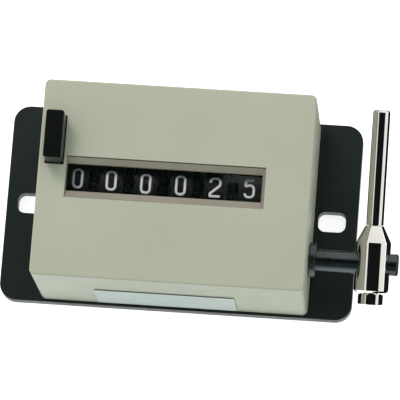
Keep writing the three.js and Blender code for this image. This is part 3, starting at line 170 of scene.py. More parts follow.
class Shape:
    """A mesh in the making, worked with the modelling operators as it would be by hand."""

    def __init__(self, piece: bpy.types.Object) -> None:
        """Takes over an object whose place is already in its mesh."""
        self.piece = piece

    @classmethod
    def adopt(cls, name: str) -> Shape:
        """Names the active object and moves its place into its mesh.

        Args:
            name: name of the piece.

        Returns:
            The shape, at the origin, unturned and unscaled.
        """
        piece = bpy.context.object
        piece.name = name
        piece.data.name = name
        bpy.ops.object.transform_apply(location=True, rotation=True, scale=True)
        return cls(piece)

    @classmethod
    def block(cls, name: str, low: Sequence[float], high: Sequence[float]) -> Shape:
        """Adds a cube at its size and place.

        Args:
            name: name of the piece.
            low: lowest corner.
            high: highest corner.

        Returns:
            The new shape.
        """
        start, end = mm(*low), mm(*high)
        deselect_all()
        bpy.ops.mesh.primitive_cube_add(size=1, location=(start + end) / 2, scale=end - start)
        return cls.adopt(name)

    @classmethod
    def slab(cls, name: str, area: Area, low: float, high: float) -> Shape:
        """Adds a block over an area, its low and high x, then y, from a low to a high z."""
        x_low, x_high, y_low, y_high = area
        return cls.block(name, (x_low, y_low, low), (x_high, y_high, high))

    @classmethod
    def turned(
        cls, name: str, axis: Axis, centre: Sequence[float], stations: Profile, sides: int = 64,
    ) -> Shape:
        """Turns a solid: a disc is extruded from station to station and scaled at each one.

        Args:
            name: name of the piece.
            axis: the axis it is turned about.
            centre: a point on the axis; its part along the axis is left out.
            stations: places along the axis with the radius there.
            sides: facets round the full circle.

        Returns:
            The new shape, closed and with its faces outwards.
        """
        way = axis.direction
        middle = Vector(centre) - way * Vector(centre).dot(way)
        place, radius = stations[0]
        deselect_all()
        bpy.ops.mesh.primitive_circle_add(
            vertices=sides,
            radius=radius * MM,
            fill_type="NGON",
            location=(middle + way * place) * MM,
            rotation=axis.lay,
        )
        shape = cls.adopt(name)
        shape.select(Pick.FACES, lambda spot, normal: True)
        for next_place, next_radius in stations[1:]:
            step = way * (next_place - place) * MM
            bpy.ops.mesh.extrude_region_move(TRANSFORM_OT_translate={"value": step})
            if next_radius != radius:
                bpy.ops.transform.resize(
                    value=[next_radius / radius] * 3,
                    center_override=(middle + way * next_place) * MM,
                )
            place, radius = next_place, next_radius
        shape.tidy()
        return shape

    def activate(self) -> None:
        """Selects this piece alone, for the next operator."""
        deselect_all()
        self.piece.select_set(True)
        bpy.context.view_layer.objects.active = self.piece

    def select(self, kind: Pick, fits: Test) -> None:
        """Selects elements by place and direction and enters edit mode.

        Args:
            kind: vertices, edges or faces.
            fits: gets an element's middle and its normal or direction, and says whether it is taken.
        """
        self.activate()
        bpy.context.tool_settings.mesh_select_mode = kind.value
        mesh = self.piece.data
        for group in (mesh.vertices, mesh.edges, mesh.polygons):
            group.foreach_set("select", [False] * len(group))
        if kind is Pick.FACES:
            for face in mesh.polygons:
                face.select = fits(face.center / MM, face.normal)
        elif kind is Pick.EDGES:
            for edge in mesh.edges:
                start, end = (mesh.vertices[i].co for i in edge.vertices)
                edge.select = fits((start + end) / 2 / MM, (end - start).normalized())
        else:
            for vertex in mesh.vertices:
                vertex.select = fits(vertex.co / MM, vertex.normal)
        bpy.ops.object.mode_set(mode="EDIT")

    def bevel(self, width: float, fits: Test, segments: int) -> Shape:
        """Rounds the edges that fit.

        Args:
            width: width of the round.
            fits: gets an edge's middle and direction, and says whether it is rounded.
            segments: steps round it.

        Returns:
            This shape.
        """
        self.select(Pick.EDGES, fits)
        bpy.ops.mesh.bevel(offset=width * MM, segments=segments, affect="EDGES")
        bpy.ops.object.mode_set(mode="OBJECT")
        return self

    def modify(self, kind: str, **settings: Any) -> Shape:
        """Adds a modifier with its settings and applies it.

        Args:
            kind: type of the modifier.
            settings: its attributes.

        Returns:
            This shape.
        """
        modifier = self.piece.modifiers.new(kind.lower(), kind)
        for name, value in settings.items():
            setattr(modifier, name, value)
        self.activate()
        bpy.ops.object.modifier_apply(modifier=modifier.name)
        return self

    def merge(self, other: Shape, how: Merge) -> Shape:
        """Cuts another shape out of this one, adds it, or keeps what both share.

        Args:
            other: the other shape, which is used up.
            how: the way the two are merged.

        Returns:
            This shape.
        """
        self.modify("BOOLEAN", operation=how.value, solver="EXACT", object=other.piece)
        bpy.data.objects.remove(other.piece, do_unlink=True)
        return self

    def bore(
        self, axis: Axis, centre: Sequence[float], radius: float, ends: Pair, sides: int = 64,
    ) -> Shape:
        """Cuts a round hole along an axis through a centre, from one end to the other."""
        drill = Shape.turned("drill", axis, centre, [(end, radius) for end in ends], sides)
        return self.merge(drill, Merge.CUT)

    def soften(self, width: float, segments: int = 2, above: float = 40.0) -> Shape:
        """Rounds every edge sharper than an angle.

        Args:
            width: width of the round.
            segments: steps round it.
            above: smallest angle between two faces whose edge is rounded.

        Returns:
            This shape.
        """
        self.tidy()
        return self.modify("BEVEL", width=width * MM, segments=segments, limit_method="ANGLE",
                           angle_limit=math.radians(above), miter_outer="MITER_ARC")

    def hollow(self, wall: float) -> Shape:
        """Gives an open shell a wall of a thickness that grows inwards."""
        self.tidy()
        return self.modify("SOLIDIFY", thickness=wall * MM, offset=-1, use_even_offset=True)

    def tidy(self) -> None:
        """Merges doubled points and turns all faces outwards."""
        self.select(Pick.VERTICES, lambda spot, normal: True)
        bpy.ops.mesh.select_all(action="SELECT")
        bpy.ops.mesh.remove_doubles(threshold=NEAR * MM / 10)
        bpy.ops.mesh.normals_make_consistent(inside=False)
        bpy.ops.object.mode_set(mode="OBJECT")

    def copy(self, name: str, move: Matrix) -> Shape:
        """Copies the shape with a mesh of its own and moves the copy.

        Args:
            name: name of the copy.
            move: where it goes, from here.

        Returns:
            The copy.
        """
        self.activate()
        bpy.ops.object.duplicate(linked=False)
        return Shape.adopt(name).move(move)

    def move(self, way: Matrix) -> Shape:
        """Moves the shape and keeps the object itself at the origin.

        Args:
            way: the move.

        Returns:
            This shape.
        """
        self.activate()
        self.piece.matrix_world = way
        bpy.ops.object.transform_apply(location=True, rotation=True, scale=True)
        return self

    def absorb(self, others: Sequence[Shape]) -> Shape:
        """Joins other shapes to this one as they are, each with its own material.

        Args:
            others: shapes that are used up.

        Returns:
            This shape.
        """
        self.activate()
        for shape in others:
            shape.piece.select_set(True)
        bpy.ops.object.join()
        return self

    def paint(self, material: bpy.types.Material) -> Shape:
        """Gives the whole shape one material.

        Args:
            material: the material.

        Returns:
            This shape.
        """
        self.piece.data.materials.clear()
        self.piece.data.materials.append(material)
        return self


# Finishes


def linear(colour: str) -> tuple[float, float, float, float]:
    """Turns an sRGB hex colour into linear values.

    Args:
        colour: six hex digits.

    Returns:
        Red, green, blue and alpha.
    """
    parts = [int(colour[i:i + 2], 16) / 255 for i in (0, 2, 4)]
    straight = [p / 12.92 if p <= 0.04045 else ((p + 0.055) / 1.055) ** 2.4 for p in parts]
    return (*straight, 1.0)


def add_node(
    tree: Tree, kind: str, inputs: dict[str | int, Any] | None = None, **settings: Any,
) -> bpy.types.Node:
    """Adds a shader node with its settings, values and links.

    Args:
        tree: the node tree.
        kind: type name of the node.
        inputs: values or output sockets, by input name or number.
        settings: attributes of the node.

    Returns:
        The new node.
    """
    node = tree.nodes.new(kind)
    for name, value in settings.items():
        setattr(node, name, value)
    for name, value in (inputs or {}).items():
        if isinstance(value, Socket):
            tree.links.new(value, node.inputs[name])
        else:
            node.inputs[name].default_value = value
    return node


def new_tree(name: str) -> tuple[bpy.types.Material, Tree]:
    """Starts an empty node material.

    Args:
        name: name of the material.

    Returns:
        The material and its node tree.
    """
    material = bpy.data.materials.new(name)
    material.use_nodes = True
    material.node_tree.nodes.clear()
    return material, material.node_tree


def noise(tree: Tree, size: float, detail: float = 2.0, stretch: Place = (1.0, 1.0, 1.0)) -> Socket:
    """A noise pattern on the object's own coordinates.

    Args:
        tree: the node tree.
        size: width of its cells.
        detail: layers of finer noise.
        stretch: how many cells' widths a cell is long, along each axis.

    Returns:
        The pattern's value.
    """
    place = add_node(tree, "ShaderNodeTexCoord").outputs["Object"]
    scale = tuple(1 / length for length in stretch)
    drawn = add_node(tree, "ShaderNodeMapping", {"Vector": place, "Scale": scale}).outputs[0]
    inputs = {"Vector": drawn, "Scale": 1 / (size * MM), "Detail": detail}
    return add_node(tree, "ShaderNodeTexNoise", inputs).outputs[0]


def spread(tree: Tree, value: Socket, low: float, high: float) -> Socket:
    """Spreads the middle of a noise pattern between two values.

    Args:
        tree: the node tree.
        value: the pattern.
        low: result where the pattern is low.
        high: result where it is high.

    Returns:
        The result's socket.
    """
    start, end = NOISE_MIDDLE
    inputs = {"Value": value, "From Min": start, "From Max": end, "To Min": low, "To Max": high}
    return add_node(tree, "ShaderNodeMapRange", inputs).outputs[0]


def relief(tree: Tree, value: Socket, depth: float) -> Socket:
    """Bumps the surface by a pattern of some depth, and gives the new normal."""
    inputs = {"Height": value, "Distance": depth * MM, "Strength": 1.0}
    return add_node(tree, "ShaderNodeBump", inputs).outputs[0]


@dataclass(frozen=True)
class Finish:
    """An opaque finish: two tones in soft clouds, an uneven gloss, and the fine relief of its making."""

    name: str
    colour: str
    second_colour: str
    roughness: float
    grain_size: float = 0.5
    grain_depth: float = 0.004
    grain_detail: float = 2.0
    grain_stretch: Place = (1.0, 1.0, 1.0)
    cloud_size: float = 11.0
    cloud_detail: float = 3.0
    gloss_size: float = 0.0
    gloss_range: Pair = (0.88, 1.12)
    metallic: float = 0.0
    specular: float = 0.5

    @cache
    def material(self) -> bpy.types.Material:
        """Builds the material on its first use, and hands it out again later.

        Returns:
            The material; without a gloss size, its gloss follows its grain.
        """
        material, tree = new_tree(self.name)
        grain = noise(tree, self.grain_size, self.grain_detail, self.grain_stretch)
        gloss = noise(tree, self.gloss_size) if self.gloss_size else grain
        glossy, dull = (self.roughness * share for share in self.gloss_range)
        clouds = spread(tree, noise(tree, self.cloud_size, self.cloud_detail), 0.0, 1.0)
        tones = {0: clouds, 6: linear(self.colour), 7: linear(self.second_colour)}
        shader = add_node(tree, "ShaderNodeBsdfPrincipled", {
            "Base Color": add_node(tree, "ShaderNodeMix", tones, data_type="RGBA").outputs[2],
            "Metallic": self.metallic,
            "Roughness": spread(tree, gloss, glossy, dull),
            "Normal": relief(tree, grain, self.grain_depth),
            "Specular IOR Level": self.specular,
        })
        add_node(tree, "ShaderNodeOutputMaterial", {"Surface": shader.outputs[0]})
        return material


@dataclass(frozen=True)
class Paint(Finish):
    """Paint sprayed on sheet metal and stoved: wide faint clouds and the ripple of the spray."""

    grain_size: float = 1.6
    grain_detail: float = 1.0
    cloud_size: float = 38.0
    gloss_size: float = 7.0
    gloss_range: Pair = (0.9, 1.12)


@dataclass(frozen=True)
class Metal(Finish):
    """Bare or plated metal, with the marks of the tool that cut it in its relief and gloss."""

    grain_size: float = 0.35
    grain_depth: float = 0.0006
    cloud_size: float = 9.0
    cloud_detail: float = 2.0
    gloss_range: Pair = (0.85, 1.2)
    metallic: float = 1.0


@dataclass(frozen=True)
class Plastic(Finish):
    """Injection moulded plastic: flow marks in the colour, the mould's grain in gloss and relief."""


@dataclass(frozen=True)
class ClearSheet:
    """Clear cast sheet that light and shadow pass through, with faint hairlines and a slight bow."""

    name: str
    colour: str
    roughness: float
    ior: float
    hairline_size: float = 2.5
    gloss_range: Pair = (0.8, 1.3)
    bow_size: float = 9.0
    bow_depth: float = 0.002

    @cache
    def material(self) -> bpy.types.Material:
        """Builds the material on its first use, and hands it out again later.

        Returns:
            The material, which casts no shadow on what lies behind it.
        """
        material, tree = new_tree(self.name)
        glossy, dull = (self.roughness * share for share in self.gloss_range)
        shader = add_node(tree, "ShaderNodeBsdfPrincipled", {
            "Base Color": linear(self.colour),
            "Roughness": spread(tree, noise(tree, self.hairline_size), glossy, dull),
            "Normal": relief(tree, noise(tree, self.bow_size), self.bow_depth),
            "Transmission Weight": 1.0,
            "IOR": self.ior,
        })
        clear = add_node(tree, "ShaderNodeBsdfTransparent")
        shadow = add_node(tree, "ShaderNodeLightPath").outputs["Is Shadow Ray"]
        inputs = {0: shadow, 1: shader.outputs[0], 2: clear.outputs[0]}
        mixed = add_node(tree, "ShaderNodeMixShader", inputs)
        add_node(tree, "ShaderNodeOutputMaterial", {"Surface": mixed.outputs[0]})
        return material


# Stoved enamel on drawn sheet steel: an even warm grey-green, half matt, with a faint sprayed ripple.
COVER_ENAMEL = Paint("stoved_enamel_grey_green", "AFB0A0", "B4B5A5", 0.42)
# Stoved black lacquer on punched steel plate: nearly black with a green cast and a soft sheen.
PLATE_LACQUER = Paint(
    "stoved_lacquer_black", "192220", "1F2927", 0.38,
    grain_size=1.1, grain_depth=0.006, specular=0.25,
)
# Moulded ABS of the window frame: warm grey, matt from an eroded mould.
BEZEL_ABS = Plastic("moulded_abs_warm_grey", "8B8579", "938D82", 0.5)
# Moulded ABS of the key: deep black, half matt, with soft highlights along its edges.
KEY_ABS = Plastic("moulded_abs_black", "050A08", "090E0C", 0.28, grain_depth=0.002, specular=0.2)
# Moulded acetal of the number wheels: black and slightly waxy.
WHEEL_ACETAL = Plastic("moulded_acetal_black", "04070A", "080C10", 0.5, specular=0.25)
# Moulded acetal without pigment: milky white, slightly waxy.
PINION_ACETAL = Plastic("moulded_acetal_natural", "DAD9CF", "E3E2DA", 0.4)
# Hot stamped figures: a thin cool white film, a little uneven at the wheel's surface.
FIGURE_FILM = Plastic("hot_stamped_figures_white", "D3E1E4", "DFECEF", 0.5, grain_size=0.3)
# Bright nickel plate on turned steel: a warm mirror, with turning marks that run round the lever.
NICKEL_PLATE = Metal(
    "nickel_plate_on_turned_steel", "E3E1DA", "EAE8E2", 0.05,
    grain_size=0.5, grain_depth=0.0003, grain_stretch=(30.0, 1.0, 30.0),
)
# Nickel plate on the cold formed screw head: the same mirror without the turning marks.
NICKEL_PLATE_FORMED = Metal("nickel_plate_on_formed_steel", "E3E1DA", "EAE8E2", 0.08)
# Chemically blackened steel of shaft and bush: blue-black, oily sheen, turned round its long axis.
BLACKENED_STEEL = Metal(
    "blackened_turned_steel", "484F51", "52595B", 0.28,
    grain_size=0.5, grain_depth=0.0012, grain_stretch=(1.0, 30.0, 30.0),
)
# Zinc plate on punched and turned steel: bright, cool, with a crystalline unevenness.
ZINC_PLATE = Metal("zinc_plated_steel", "B4B8BB", "C2C4C2", 0.3, grain_size=0.6)
# Drawn spring wire and strip: bright, with draw marks too fine to see at this distance.
SPRING_WIRE = Metal("drawn_spring_steel", "8E9295", "A4A7A9", 0.25)
# Hobbed brass gears: yellow, satin from the cutter.
GEAR_BRASS = Metal("hobbed_brass", "B8934A", "C6A35C", 0.3)
# Brushed aluminium foil plate, bare: pale, with fine lines along its length drawn 0.25 mm apart,
# coarser than the real brushing, which is too fine to show.
LABEL_FOIL = Metal(
    "brushed_aluminium_foil", "A3ADAA", "ADB6B3", 0.45,
    grain_size=0.25, grain_depth=0.0015, grain_stretch=(60.0, 1.0, 1.0),
)
# Cast acrylic sheet: clear and polished, with a slight bow in its reflections.
WINDOW_ACRYLIC = ClearSheet("cast_acrylic_clear", "F4F7F6", 0.03, 1.49)

FINISHES: dict[Slot, Finish | ClearSheet] = {
    Slot.PLATE: PLATE_LACQUER,
    Slot.COVER: COVER_ENAMEL,
    Slot.BEZEL: BEZEL_ABS,
    Slot.WINDOW: WINDOW_ACRYLIC,
    Slot.LABEL: LABEL_FOIL,
    Slot.BRIGHT_STEEL: ZINC_PLATE,
    Slot.DARK_STEEL: BLACKENED_STEEL,
    Slot.SPRING_STEEL: SPRING_WIRE,
    Slot.NICKEL: NICKEL_PLATE_FORMED,
    Slot.WHEEL: WHEEL_ACETAL,
    Slot.KEY: KEY_ABS,
    Slot.PINION: PINION_ACETAL,
    Slot.BRASS: GEAR_BRASS,
}


# Sub-assemblies


class Assembly:
    """A sub-assembly of the counter: it builds its pieces, dresses them and puts them on bodies."""

    @staticmethod
    def dress(shape: Shape, slot: Slot, body: str, *nodes: str) -> None:
        """Paints a shape unless it is painted, smooths what is round, and puts it on its body.

        Args:
            shape: the finished shape.
            slot: the record's slot for its finish.
            body: the body it rides on.
            nodes: solids that it replaces.
        """
        piece = shape.piece
        if piece.active_material is None:
            shape.paint(FINISHES[slot].material())
        shape.activate()
        bpy.ops.object.shade_smooth_by_angle(angle=math.radians(SMOOTH_BELOW))
        shape.modify("WEIGHTED_NORMAL", keep_sharp=True)
        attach(piece, body)
        if nodes:
            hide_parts(*nodes)
        log.info("%s on %s: %d faces", piece.name, body, len(piece.data.polygons))


@dataclass
class InnerWorks(Assembly):
    """The solids that stay: frame, axles, gears, pawl, springs, hammers and the wheels' bodies."""

    def build(self) -> None:
        """Gives every solid the finish of its slot in the record."""
        for part in frame["record"]["subparts"]:
            finish = FINISHES[Slot(part["material_slot"])]
            frame["nodes"][part["node"]].material_slots[0].material = finish.material()
            log.info("%s dressed in %s", part["node"], finish.name)


@dataclass
class BasePlate(Assembly):
    """Punched plate with two slotted ears and countersunk holes from behind."""

    corner_radius: float = 6.0
    slot_length: float = 10.0
    slot_width: float = 7.3
    slot_corner_radius: float = 2.6
    slot_inset: float = 9.0
    hole_radius: float = 1.6
    sink_radius: float = 3.0
    sink_top: float = 2.0
    sink_start: float = 0.2
    edge_round: float = 1.1
    stretch: Pair = (0.25, 0.2)

    def build(self) -> None:
        """Models the plate, punches its slots and drills it for the rear screws."""
        low, high = limits("base_plate")
        plate = Shape.block("plate_lacquered", low, high + Vector((*self.stretch, 0)))
        plate.bevel(self.corner_radius, along(Axis.Z), segments=14)
        half_length, half_width = self.slot_length / 2, self.slot_width / 2
        for side in (-1, 1):
            middle = side * (high.x - self.slot_inset)
            area = (middle - half_length, middle + half_length, -half_width, half_width)
            punch = Shape.slab("slot_punch", area, low.z - OVERRUN, high.z + OVERRUN)
            punch.bevel(self.slot_corner_radius, along(Axis.Z), segments=10)
            punch.tidy()
            plate.merge(punch, Merge.CUT)
        for node in [f"{kind}_screw_{i}" for kind in ("cover", "frame") for i in range(1, 5)]:
            screw_low, screw_high = limits(node)
            drill = Shape.turned("drill", Axis.Z, (screw_low + screw_high) / 2, [
                (-OVERRUN, self.sink_radius),
                (self.sink_start, self.sink_radius),
                (self.sink_top, self.hole_radius),
                (high.z + OVERRUN, self.hole_radius),
            ], sides=32)
            plate.merge(drill, Merge.CUT)
        plate.soften(self.edge_round, segments=4)
        self.dress(plate, Slot.PLATE, "housing", "base_plate")


@dataclass
class RearScrews(Assembly):
    """Countersunk screws with a hexagon recess, seen from behind the base plate."""

    head_radius: float = 2.8
    shank_radius: float = 1.4
    head_depth: float = 1.8
    recess_radius: float = 1.1
    recess_depth: float = 0.9
    head_round: float = 0.15
    edge_break: float = 0.05

    def model(self, node: str) -> Shape:
        """Models one screw where its solid is.

        Args:
            node: the solid it stands for.

        Returns:
            The screw.
        """
        low, high = limits(node)
        centre = (low + high) / 2
        screw = Shape.turned(node.replace("screw", "screw_plated"), Axis.Z, centre, [
            (low.z, self.head_radius - self.head_round),
            (low.z + self.head_round, self.head_radius),
            (low.z + self.head_depth, self.shank_radius),
            (high.z - self.head_round, self.shank_radius),
            (high.z, self.shank_radius - self.head_round),
        ], sides=40)
        recess = (low.z - OVERRUN, low.z + self.recess_depth)
        screw.bore(Axis.Z, centre, self.recess_radius, recess, sides=6)
        return screw.soften(self.edge_break, segments=1, above=50.0)

    def build(self) -> None:
        """Models one screw of each length and copies it to the other three corners."""
        for kind in ("cover", "frame"):
            nodes = [f"{kind}_screw_{number}" for number in range(1, 5)]
            screws = [self.model(nodes[0])]
            for number, node in enumerate(nodes[1:], 2):
                move = Matrix.Translation(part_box(node)[0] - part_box(nodes[0])[0])
                screws.append(screws[0].copy(f"{kind}_screw_plated_{number}", move))
            for node, screw in zip(nodes, screws):
                self.dress(screw, Slot.BRIGHT_STEEL, "housing", node)


@dataclass
class Cover(Assembly):
    """Deep sheet-metal cover with a window opening, a key opening and the shaft's hole."""

    wall: float = 1.6
    corner_radius: float = 2.0
    front_round: float = 0.7
    boss_radius: float = 3.2
    boss_inset: float = 4.2
    boss_bore: float = 1.6
    boss_bore_depth: float = 11.0
    window: Area = (-38.25, 32.1, -6.45, 8.5)
    key: Area = (-46.1, -39.2, 5.15, 22.85)
    punch_depth: float = 3.0
    shaft_line: Place = (0.0, -18.5, 26.0)
    shaft_hole_radius: float = 5.5
    cut_round: float = 0.16

    def build(self) -> None:
        """Models the cover as a shell, then its bosses, then what is punched out of it."""
        low, high = limits("cover")
        cover = Shape.block("cover_enamelled", low, high)
        cover.bevel(self.corner_radius, along(Axis.Z), segments=8)
        cover.select(Pick.FACES, lambda spot, normal: spot.z < low.z + NEAR)
        bpy.ops.mesh.delete(type="FACE")
        cover.hollow(self.wall)
        cover.bevel(self.front_round, lambda spot, way: spot.z > high.z - NEAR, segments=5)
        middle, reach = (low + high) / 2, (high - low) / 2
        for side_x in (-1, 1):
            for side_y in (-1, 1):
                x = middle.x + side_x * (reach.x - self.boss_inset)
                y = middle.y + side_y * (reach.y - self.boss_inset)
                self.add_boss(cover, (x, y, 0), low.z, high.z)
        for area in (self.window, self.key):
            punch = Shape.slab("punch", area, high.z - self.punch_depth, high.z + OVERRUN)
            cover.merge(punch, Merge.CUT)
        hole = (high.x - 2 * self.wall, high.x + OVERRUN)
        cover.bore(Axis.X, self.shaft_line, self.shaft_hole_radius, hole, sides=48)
        cover.soften(self.cut_round, above=60.0)
        self.dress(cover, Slot.COVER, "housing", "cover")

    def add_boss(self, cover: Shape, centre: Place, low: float, high: float) -> None:
        """Adds one corner boss with its bore.

        Args:
            cover: the shell.
            centre: a point on the axis of the boss.
            low: height of the shell's rear rim.
            high: height of its front face.
        """
        stations = [(low, self.boss_radius), (high - self.wall / 2, self.boss_radius)]
        cover.merge(Shape.turned("boss", Axis.Z, centre, stations, sides=24), Merge.ADD)
        bore = (low - OVERRUN, low + self.boss_bore_depth)
        cover.bore(Axis.Z, centre, self.boss_bore, bore, sides=16)


@dataclass
class WindowFrame(Assembly):
    """Frame with sloping sides clipped behind the cover, and its clear window."""

    opening: Area = (-38.2, 32.05, -6.4, 8.2)
    aperture: Area = (-38.0, 31.0, -3.8, 6.1)
    front: float = 49.6
    slope_depth: float = 1.25
    lip: float = 0.15
    seat: float = 48.1
    web: float = 1.0
    pocket_gap: float = 0.7
    edge_round: float = 0.06
    window_round: float = 0.12

    def build(self) -> None:
        """Models the frame: its front is inset and sunk, then flange and ways through follow."""
        low, high = limits("window_frame")
        back = self.seat - self.web
        body = Shape.slab("window_frame_moulded", self.opening, back, self.front)
        body.select(Pick.FACES, lambda spot, normal: normal.z > PARALLEL)
        bpy.ops.mesh.inset(thickness=self.lip * MM)
        sink = (0, 0, -self.slope_depth * MM)
        bpy.ops.mesh.extrude_region_move(TRANSFORM_OT_translate={"value": sink})
        bpy.ops.object.mode_set(mode="OBJECT")
        self.draw_in(body)
        flange = Shape.block("flange", low, (high.x, high.y, self.seat))
        flange.merge(Shape.slab("core", self.opening, back, self.front), Merge.CUT)
        body.merge(flange, Merge.ADD)
        grown = (-self.pocket_gap, self.pocket_gap, -self.pocket_gap, self.pocket_gap)
        pocket = tuple(edge + gap for edge, gap in zip(self.aperture, grown))
        body.merge(Shape.slab("pocket", pocket, low.z - OVERRUN, back), Merge.CUT)
        body.merge(Shape.slab("way_through", self.aperture, low.z, self.front + OVERRUN), Merge.CUT)
        body.soften(self.edge_round, segments=1, above=50.0)
        window = Shape.block("window_acrylic", *limits("window_lens")).soften(self.window_round)
        self.dress(body, Slot.BEZEL, "housing", "window_frame")
        self.dress(window, Slot.WINDOW, "housing", "window_lens")

    def draw_in(self, body: Shape) -> None:
        """Draws the sunk floor in to the aperture, so that four sloping sides lead down to it.

        Args:
            body: the frame's body with its front inset and sunk.
        """
        floor = self.front - self.slope_depth
        for side, axis in enumerate((Axis.X, Axis.X, Axis.Y, Axis.Y)):
            way = axis.direction
            edge = self.opening[side] + (self.lip if side % 2 == 0 else -self.lip)
            body.select(
                Pick.VERTICES,
                lambda spot, normal: abs(spot.z - floor) < NEAR and abs(spot.dot(way) - edge) < NEAR,
            )
            bpy.ops.transform.translate(value=way * (self.aperture[side] - edge) * MM)
            bpy.ops.object.mode_set(mode="OBJECT")


@dataclass
class RatingPlate(Assembly):
    """Bare foil plate on the lower side of the cover."""

    corner_radius: float = 1.2
    edge_round: float = 0.06

    def build(self) -> None:
        """Models the plate with rounded corners and a soft edge."""
        plate = Shape.block("rating_plate_foil", *limits("rating_label"))
        plate.bevel(self.corner_radius, along(Axis.Y), segments=6)
        plate.soften(self.edge_round)
        self.dress(plate, Slot.LABEL, "housing", "rating_label")


@dataclass(frozen=True)
class Stroke:
    """One pen stroke of a figure: corner points, the radius at each, and whether it closes."""

    points: tuple[Place, ...]
    closed: bool = False


# Figures by their pen strokes, in shares of half the pen's width and half its height. Each point is
# followed by the radius of its corner in millimetres.
FIGURES: tuple[tuple[Stroke, ...], ...] = (
    (Stroke(((-0.88, -1, 1.3), (-0.88, 1, 1.3), (0.88, 1, 1.3), (0.88, -1, 1.3)), True),),
    (Stroke(((-0.55, 0.6, 0), (0.12, 1, 0.15), (0.12, -1, 0))),),
    (Stroke(((-1, 0.5, 0), (-1, 1, 1.35), (1, 1, 1.35), (1, 0.22, 1.1), (-1, -0.72, 0.5),
             (-1, -1, 0.15), (1.05, -1, 0))),),
    (Stroke(((-0.95, 0.62, 0), (-0.9, 1, 1.1), (0.92, 1, 1.1), (0.92, 0.08, 1.1), (-0.25, 0.08, 0))),
     Stroke(((-0.25, 0.08, 0), (1, 0.08, 1.2), (1, -1, 1.3), (-1, -1, 1.2), (-1, -0.58, 0)))),
    (Stroke(((0.45, -1, 0), (0.45, 1, 0))),
     Stroke(((0.45, 1, 0), (-1, -0.42, 0.15), (1.15, -0.42, 0)))),
    (Stroke(((0.8, 0.88, 0), (-0.76, 0.88, 0.15), (-0.86, 0.1, 0.4), (-0.1, 0.32, 0.8), (0.9, 0.2, 1.2),
             (0.9, -1, 1.3), (-0.9, -1, 1.2), (-0.9, -0.62, 0))),),
    (Stroke(((-1, -1, 1.3), (-1, 0.15, 1.3), (1, 0.15, 1.3), (1, -1, 1.3)), True),
     Stroke(((-1, -0.3, 0), (-1, 1, 1.7), (0.75, 1, 0)))),
    (Stroke(((-1, 1, 0), (1, 1, 0.2), (1, 0.75, 0.4), (-0.35, -1, 0))),),
    (Stroke(((-0.9, 0.08, 1.1), (-0.9, 1, 1.1), (0.9, 1, 1.1), (0.9, 0.08, 1.1)), True),
     Stroke(((-1, -1, 1.3), (-1, 0.08, 1.2), (1, 0.08, 1.2), (1, -1, 1.3)), True)),
    (Stroke(((-1, -0.15, 1.3), (-1, 1, 1.3), (1, 1, 1.3), (1, -0.15, 1.3)), True),
     Stroke(((1, 0.3, 0), (1, -1, 1.7), (-0.75, -1, 0)))),
)


